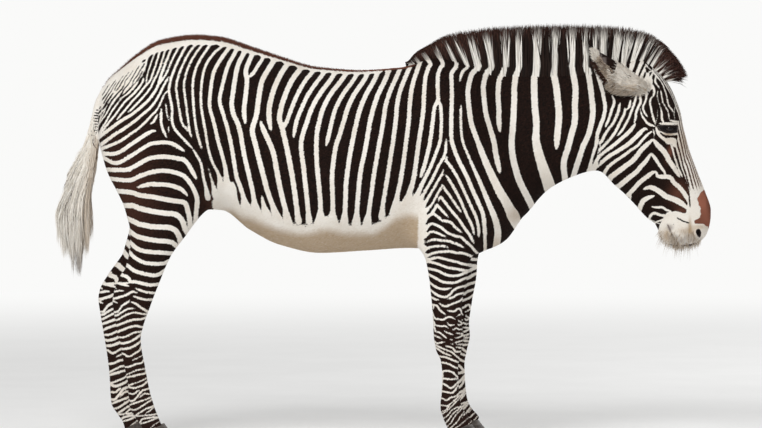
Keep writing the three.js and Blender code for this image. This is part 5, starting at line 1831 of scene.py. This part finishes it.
def brush_paths():
    """The brush's hairs, from the dock's sides into the brush's own outline and past it."""
    start, end, place_x, place_y, spread, stand_off, angle, long = brush_plan()
    middle = (tail_front(start) + tail_rear(start)) / 2
    deep = (tail_front(start) - tail_rear(start)) / 2 - 3
    root_x = (middle + deep * np.cos(angle))[:, None]
    root_y = ((tail_span(start) - 3) * np.sin(angle))[:, None]
    share = np.linspace(0, 1, BRUSH_STEPS)[None, :]
    z = start[:, None] + (end - start)[:, None] * share
    inside = smoothstep(0, 0.45, share)
    gather = 1 - 0.75 * share ** 2
    side_x = (place_x[:, None] + spread[0][:, None] * gather).clip(-1, 1)
    side_y = (place_y[:, None] + spread[1][:, None] * gather).clip(-1, 1)
    x_mid = (brush_front(z) + brush_rear(z)) / 2
    x_half = (brush_front(z) - brush_rear(z)) / 2
    y_half = 0.9 * tail_span(z.clip(740, 1300))
    wave = 3 * np.sin(share * 9 + angle[:, None]) * share
    off = stand_off[:, None] * smoothstep(0.5, 1.0, share)
    path = np.empty((*z.shape, 3))
    path[..., 0] = root_x * (1 - inside) + (x_mid + side_x * x_half + wave) * inside + off
    path[..., 1] = root_y * (1 - inside) + (side_y * y_half + wave) * inside
    path[..., 1] += 0.6 * np.abs(off) * np.sign(place_y)[:, None]
    path[..., 2] = z
    return path, place_x, long


def build_brush(surface):
    path, place_x, long = brush_paths()
    share = np.linspace(0, 1, BRUSH_STEPS)[None, :]
    wide = 2.0 * (1 - 0.7 * share ** 2) * random.uniform(0.5, 1.25, (BRUSH_HAIRS, 1))
    turn = random.uniform(0, math.pi, BRUSH_HAIRS)
    across = np.column_stack([np.cos(turn), np.sin(turn), np.zeros(BRUSH_HAIRS)])
    points, faces, along, per = strands(path, wide, wide * 0.5, across)
    made = make_object("tail_hair", points, faces, smooth=False)
    tone = np.where(random.uniform(0, 1, BRUSH_HAIRS) < 0.045, -6, 8)
    set_values(made, "stripe", np.repeat(tone, per))
    warm = np.repeat(random.uniform(0.1, 0.6, BRUSH_HAIRS), per)
    # The hairs towards the brush's front side are tan: painted shade on that side. The rest vary in tan
    # at random.
    tan = 0.3 * random.uniform(0.0, 1.0, BRUSH_HAIRS) ** 2 + 0.4 * smoothstep(0.1, 0.9, place_x)
    tip = smoothstep(0.8, 1.0, along) * np.repeat(long, per) * 0.8
    set_values(made, "tint", np.column_stack([warm, np.repeat(tan, per), tip]))
    bake_map(made, faces, path[:, 0], per, surface)
    return finish_piece(made, hair_material("tail_hair"), ["tail_brush"])


# Locks of each ear: how many, where along and around it they root, how they lean (along the
# ear, out of it, on around it and down), their length, and their colour.
EAR_LOCKS = [
    (420, (206, 235), (-1, 1), (1.0, 0.03, 0.0, -0.05), (14, 30), "cream"),
    (620, (100, 216), (0.86, 1.0), (0.7, 0.05, 0.7, 0.0), (12, 24), "dark"),
    (420, (106, 205), (0.3, 0.8), (0.95, 0.1, 0.1, 0.0), (12, 22), "tan"),
    (640, (-10, 120), (0.55, 0.97), (0.8, 0.2, 0.35, 0.3), (18, 34), "olive"),
    (780, (-16, 126), (-1.0, 0.68), (0.92, 0.16, 0.1, 0.1), (16, 32), "white"),
    (300, (-34, 6), (-1.0, 1.0), (0.9, 0.35, 0.0, 0.0), (22, 44), "white"),
]
# Each colour's share of black locks, its least and most tan, and its darkest tips.
LOCK_COLOURS = {"cream": (0.0, 0.1, 0.35, 0.1), "dark": (0.97, 0.3, 0.6, 0.3),
                "tan": (0.14, 0.45, 1.0, 0.5), "olive": (0.06, 0.3, 0.95, 0.35),
                "white": (0.03, 0.0, 0.4, 0.15)}


def ear_place(along, turn):
    """Points on the left ear's outer wall, the ways out of the wall, and the ways on around it."""
    aim, back, across = ear_axes()
    wrap = np.radians(ear_wrap(np.maximum(along, 0)))
    radius = ear_half(np.maximum(along, 0)) / np.sin(np.minimum(wrap, math.pi / 2)) - 2.5
    s, c, r = np.sin(turn * wrap)[:, None], np.cos(turn * wrap)[:, None], radius[:, None]
    point = (EAR_ROOT + along[:, None] * aim + s * r * across
             + (c * r - r + EAR_ROOT_DEPTH) * back)
    return point, s * across + c * back, c * across - s * back


def ear_lock_paths(side):
    """Each lock's path, and its stripe, warm, tan and dark-tip values."""
    paths, looks = [], []
    for count, along, turn, lean, length, tone in EAR_LOCKS:
        root, out, around = ear_place(random.uniform(*along, count), random.uniform(*turn, count))
        way = lean[0] * unit(EAR_AIM) + lean[1] * out + lean[2] * around
        way = unit(way + [0, 0, -lean[3]] + random.normal(0, 0.13, (count, 3)))
        reach = random.uniform(*length, count)[:, None]
        middle = root + way * reach * 0.5 + out * reach * 0.05
        tip = root + way * reach - [0, 0, 0.07] * reach
        path = np.stack([root - out * 1.5, middle, tip], 1)
        path[..., 1] *= side
        paths.append(path)
        dark, tan_low, tan_high, tip_most = LOCK_COLOURS[tone]
        black = random.uniform(0, 1, count) < dark
        looks.append(np.column_stack([
            np.where(black, -6.0, 8.0), random.uniform(0.05, 0.45, count),
            random.uniform(tan_low, tan_high, count), random.uniform(0, tip_most, count)]))
    return np.concatenate(paths), np.concatenate(looks)


def build_locks(name, path, look, width, surface):
    """A piece of short loose hair from paths of three points."""
    count = len(path)
    share = np.array([0, 0.5, 1.0])[None, :]
    wide = width * (1 - 0.6 * share) * random.uniform(0.6, 1.3, (count, 1))
    across = unit(random.normal(0, 1, (count, 3)))
    points, faces, _, per = strands(path, wide, wide * 0.45, across)
    made = make_object(name, points, faces, smooth=False)
    set_values(made, "stripe", np.repeat(look[:, 0], per))
    set_values(made, "tint", np.repeat(look[:, 1:], per, 0))
    bake_map(made, faces, path[:, 0], per, surface)
    return finish_piece(made, hair_material(name))


def build_ear_hair(surface):
    both = [ear_lock_paths(side) for side in (RIGHT, LEFT)]
    path = np.concatenate([one[0] for one in both])
    look = np.concatenate([one[1] for one in both])
    build_locks("ear_hair", path, look, 1.5, surface)


def strewn(surface, chosen, count):
    """Roots and outward ways at some of the skin's points, chosen at random."""
    pick = random.choice(np.flatnonzero(chosen), count)
    return surface["points"][pick] + random.normal(0, 1.2, (count, 3)), surface["normal"][pick]


def build_face_hair(surface):
    """The beard of short hair under the lips, the whiskers, and the lashes over the eyes."""
    p, normal = surface["points"], surface["normal"]
    along, _ = head_frame(p)
    on_muzzle = (p[:, 0] > 1000) & (along > 560) & (nostril_opening(p) < -0.7)
    under_lip = on_muzzle & (p[:, 2] < 790) & (normal[:, 2] < 0.1) & (p[:, 0] < 1185)
    lash = (np.abs(p[:, 0] - EYE[0]) < 29) & (np.abs(p[:, 2] - EYE[1] - 12.5) < 2.2)
    lash &= np.abs(p[:, 1]) > 60
    groups = ((under_lip, 1500, (7, 24), (0.45, -0.15, -0.9), (8, 0.1, 1.0, 0.15)),
              (on_muzzle & (p[:, 2] < 800) & (p[:, 0] < 1165), 120, (26, 58), (0.6, -0.1, -0.9),
               (8, 0.2, 0.9, 0.3)),
              (lash, 150, (9, 15), (1.0, 0.15, -0.35), (-8, 0.1, 0.1, 0.0)))
    paths, looks = [], []
    for chosen, count, length, (out, forward, rise), look in groups:
        root, way = strewn(surface, chosen, count)
        way = unit(way * out + [forward, 0, rise] + random.normal(0, 0.14, (count, 3)))
        reach = random.uniform(*length, count)[:, None]
        tip = root + way * reach + [0, 0, 0.12 * rise] * reach
        paths.append(np.stack([root - way, root + way * reach * 0.5, tip], 1))
        values = np.tile(np.array(look, float), (count, 1))
        values[:, 2] *= random.uniform(0.2, 1.0, count)
        looks.append(values)
    build_locks("face_hair", np.concatenate(paths), np.concatenate(looks), 0.7, surface)


# ---------------------------------------------------------------- the short coat

# Each piece: the parts it covers, and the side if it is on one side only.
COATS = {
    "coat_trunk_right": (("trunk",), RIGHT), "coat_trunk_left": (("trunk",), LEFT),
    "coat_neck": (("neck",), 0), "coat_head": (("head",), 0),
    "coat_hind": (("hind_right", "hind_left", "tail"), 0),
    "coat_fore": (("fore_right", "fore_left"), 0),
    "coat_ears": (("ear_right", "ear_left"), 0),
}


def tuft_size(p, part):
    """Length of a tuft: longest on the trunk and neck, smallest on the face and the feet."""
    along, _ = head_frame(p)
    size = np.full(len(p), 13.0)
    size -= 3.5 * smoothstep(-780, -900, p[:, 0]) * smoothstep(1150, 1220, p[:, 2])
    size -= 4.5 * smoothstep(760, 560, p[:, 2]) * (p[:, 0] < 600)
    on_head = part == HEAD
    size = np.where(on_head, 9.0 - 3.2 * smoothstep(140, 330, along), size)
    return np.where(part >= EARS, 7.0, size)


def lie(p, normal, part):
    """Which way the hair lies, along the skin."""
    _, up = head_frame(p)
    flow = np.tile([-0.9, 0.0, -0.42], (len(p), 1))
    to_neck = smoothstep(250, 520, p[:, 0])[:, None]
    flow = flow * (1 - to_neck) + np.array([-0.72, 0, -0.7]) * to_neck
    to_leg = (smoothstep(980, 760, p[:, 2]) * (np.abs(p[:, 0] + 180) > 330))[:, None]
    flow = flow * (1 - to_leg) + np.array([-0.12, 0, -1.0]) * to_leg
    on_head = (part == HEAD)[:, None]
    front = smoothstep(-40, 40, up)[:, None]
    face = np.array([HEAD_ALONG[0], 0, HEAD_ALONG[1]]) * front
    face = face + np.array([-0.45, 0, -0.9]) * (1 - front)
    flow = np.where(on_head, face, flow)
    flow = np.where((part == TAIL)[:, None], [0.0, 0, -1], flow)
    for k, side in enumerate((RIGHT, LEFT)):
        flow = np.where((part == EARS + k)[:, None], EAR_AIM * [1, side, 1], flow)
    flow = flow + 0.12 * np.sin(p[:, [1, 2, 0]] / 37.0) + random.normal(0, 0.16, flow.shape)
    return unit(flow - (flow * normal).sum(1, keepdims=True) * normal)


def tufts_wanted(surface, triangles):
    """How many tufts each of some triangles should have, for its area and their size there."""
    faces = surface["faces"][triangles]
    area = np.linalg.norm(across_faces(surface["points"], faces), axis=1) / 2
    size = tuft_size(surface["points"][faces].mean(1), surface["part"][faces[:, 0]])
    return area / size ** 1.5


def scatter(surface, chosen, count):
    """Evenly strewn places on the chosen triangles: triangle and corner weights."""
    reach = np.cumsum(tufts_wanted(surface, chosen))
    step = (np.arange(count) + random.uniform(0, 1, count)) / count
    pick = np.searchsorted(reach, step * reach[-1])
    u, v = random.uniform(0, 1, (2, count))
    flip = u + v > 1
    u, v = np.where(flip, 1 - u, u), np.where(flip, 1 - v, v)
    return chosen[np.minimum(pick, len(chosen) - 1)], np.column_stack([1 - u - v, u, v])


def blend_at(values, faces, weight):
    """Values inside triangles, from their corners' values."""
    return np.einsum("nk,nk...->n...", weight, values[faces])


def covered(surface, name):
    """The skin's triangles under a piece of the coat."""
    parts, side = COATS[name]
    own = np.isin(surface["part"][surface["faces"][:, 0]], [PARTS.index(part) for part in parts])
    if side:
        own &= surface["points"][surface["faces"][:, 0], 1] * side > 0
    return np.flatnonzero(own)


def tuft_points(middle, normal, part, standing):
    """The five corners of each tuft: its root, its two sides, its ridge and its tip."""
    count = len(middle)
    forward = lie(middle, normal, part)
    across = np.cross(normal, forward)
    length = (tuft_size(middle, part) * random.uniform(0.75, 1.25, count))[:, None]
    half = length * random.uniform(0.13, 0.19, (count, 1))
    lift = random.uniform(0.5, 1.0, (count, 1)) * length / 13
    root = middle - forward * length * 0.5 - normal * 0.6
    left = middle + across * half - normal * 0.1
    right = middle - across * half - normal * 0.1
    ridge = middle + normal * (0.35 + lift * 0.7) + forward * length * 0.04
    bend = across * random.normal(0, 0.1, (count, 1)) * length
    tip = middle + forward * length * 0.5 + normal * (0.2 + lift * 1.3) + bend
    raise_by = standing[:, None] * random.uniform(0.6, 1.0, (count, 1))
    tip += normal * raise_by * 12.5 - forward * raise_by * 4
    ridge += normal * raise_by * 6
    return np.stack([root, left, right, ridge, tip], 1)


TUFT_LEAF = np.array([(0, 3, 1), (0, 2, 3), (1, 3, 4), (3, 2, 4)])
TUFT_PATCH = PATCH * np.array([(-0.5, 0), (0, 0.5), (0, -0.5), (0, 0), (0.5, 0)])


def build_coat(name, surface, canvas, material, count):
    """Flat pointed tufts over part of the skin, each a raised leaf of four triangles."""
    triangle, weight = scatter(surface, covered(surface, name), count)
    keep = blend_at(surface["tint"], surface["faces"][triangle], weight)[:, 2] < BARE
    triangle, weight = triangle[keep], weight[keep]
    faces, count = surface["faces"][triangle], len(triangle)
    middle, tint, stripe = (blend_at(surface[key], faces, weight)
                            for key in ("points", "tint", "stripe"))
    normal = unit(blend_at(surface["normal"], faces, weight))
    part = surface["part"][faces[:, 0]]
    standing = on_dorsal(middle) * smoothstep(120, -300, middle[:, 0])
    points = tuft_points(middle, normal, part, standing).reshape(-1, 3)
    made_faces = (TUFT_LEAF[None] + 5 * np.arange(count)[:, None, None]).reshape(-1, 3)
    made = make_object(name, points, made_faces)
    values = np.repeat(stripe, 5)
    if name != "coat_ears":
        drawn = markings(canvas, points, np.repeat(normal, 5, 0))
        values = np.where(np.repeat(standing, 5) > 0.3, values, drawn)
    set_values(made, "stripe", values + np.repeat(random.normal(0, 0.7, count), 5))
    tint[:, 1] += random.normal(0, 0.07, count)
    tint[:, 0] += random.normal(0, 0.02, count)
    set_values(made, "tint", np.repeat(np.clip(tint, 0, 1), 5, 0))
    set_values(made, "down", np.repeat((part > NECK).astype(float), 5))
    place = np.einsum("nk,nkc->nc", weight, surface["uv"][triangle])
    uv = place[:, None, :] + TUFT_PATCH[None]
    set_uv(made, uv.reshape(-1, 2)[made_faces.ravel()])
    return finish_piece(made, material)


# All the tufts wanted, and the most in one piece, which at four triangles each keeps to 200,000.
COAT_TUFTS, MOST_TUFTS = 238000, 49500


def build_coats(surface, canvas):
    material = coat_material("fur_coat", 0.9, 0.25)
    want = tufts_wanted(surface, np.arange(len(surface["faces"])))
    for name in COATS:
        count = int(COAT_TUFTS * want[covered(surface, name)].sum() / want.sum())
        build_coat(name, surface, canvas, material, min(count, MOST_TUFTS))


# ---------------------------------------------------------------- camera, floor and light

FOCAL_PIXELS, IMAGE_WIDTH, SENSOR = 4817.0, 762, 36.0
CAMERA = (-0.0075, -18.0, 1.482)
CAMERA_TILT = math.radians(90 - 2.01)
FLOOR_HALF = 40000.0
SKY_STRENGTH, LAMP_SIZE, LAMP_AIM = 0.56, 4.0, (0, 0, 0.9)


def build_camera():
    data = bpy.data.cameras.new("camera")
    data.sensor_width = SENSOR
    data.lens = FOCAL_PIXELS * SENSOR / IMAGE_WIDTH
    data.clip_end = 200
    made = bpy.data.objects.new("camera", data)
    made.location = CAMERA
    made.rotation_euler = (CAMERA_TILT, 0, 0)
    bpy.context.scene.collection.objects.link(made)
    bpy.context.scene.camera = made


def build_floor():
    corners = FLOOR_HALF * np.array([[-1, -1, 0], [1, -1, 0], [1, 1, 0], [-1, 1, 0]])
    made = make_object("floor", corners, np.array([[0, 1, 2], [0, 2, 3]]), smooth=False)
    made.data.materials.append(floor_material())


def lamp(name, place, power):
    data = bpy.data.lights.new(name, "AREA")
    data.shape, data.size, data.energy = "DISK", LAMP_SIZE, power
    made = bpy.data.objects.new(name, data)
    made.location = place
    made.rotation_euler = (Vector(LAMP_AIM) - Vector(place)).to_track_quat("-Z", "Y").to_euler()
    bpy.context.scene.collection.objects.link(made)


def build_light():
    world = bpy.data.worlds.new("studio")
    world.use_nodes = True
    bpy.context.scene.world = world
    tree = world.node_tree
    tree.nodes.clear()
    path = tree.nodes.new("ShaderNodeLightPath")
    seen, soft = tree.nodes.new("ShaderNodeBackground"), tree.nodes.new("ShaderNodeBackground")
    seen.inputs[0].default_value = BACKDROP
    soft.inputs[0].default_value = (1, 1, 1, 1)
    soft.inputs[1].default_value = SKY_STRENGTH
    mix, output = tree.nodes.new("ShaderNodeMixShader"), tree.nodes.new("ShaderNodeOutputWorld")
    tree.links.new(path.outputs["Is Camera Ray"], mix.inputs[0])
    tree.links.new(soft.outputs[0], mix.inputs[1])
    tree.links.new(seen.outputs[0], mix.inputs[2])
    tree.links.new(mix.outputs[0], output.inputs[0])
    lamp("key", (-2.5, -6.5, 6.0), 375)
    lamp("fill", (5.0, 4.5, 4.5), 160)


# ---------------------------------------------------------------- everything

scene = bpy.context.scene
scene.view_settings.view_transform = "Standard"
build_camera()
build_floor()
build_light()

canvas = side_map()
skin, surface = build_skin(canvas)
legs = [f"{end}leg_{side}" for end in ("hind", "fore") for side in ("right", "left")]
finish_piece(skin, coat_material("skin_coat", 1.1, 0.5),
             ["trunk", "neck", "head", "tail", "ear_right", "ear_left", *legs])
build_eyes()
build_hooves()
build_mane(canvas, surface)
build_brush(surface)
build_ear_hair(surface)
build_face_hair(surface)
build_coats(surface, canvas)
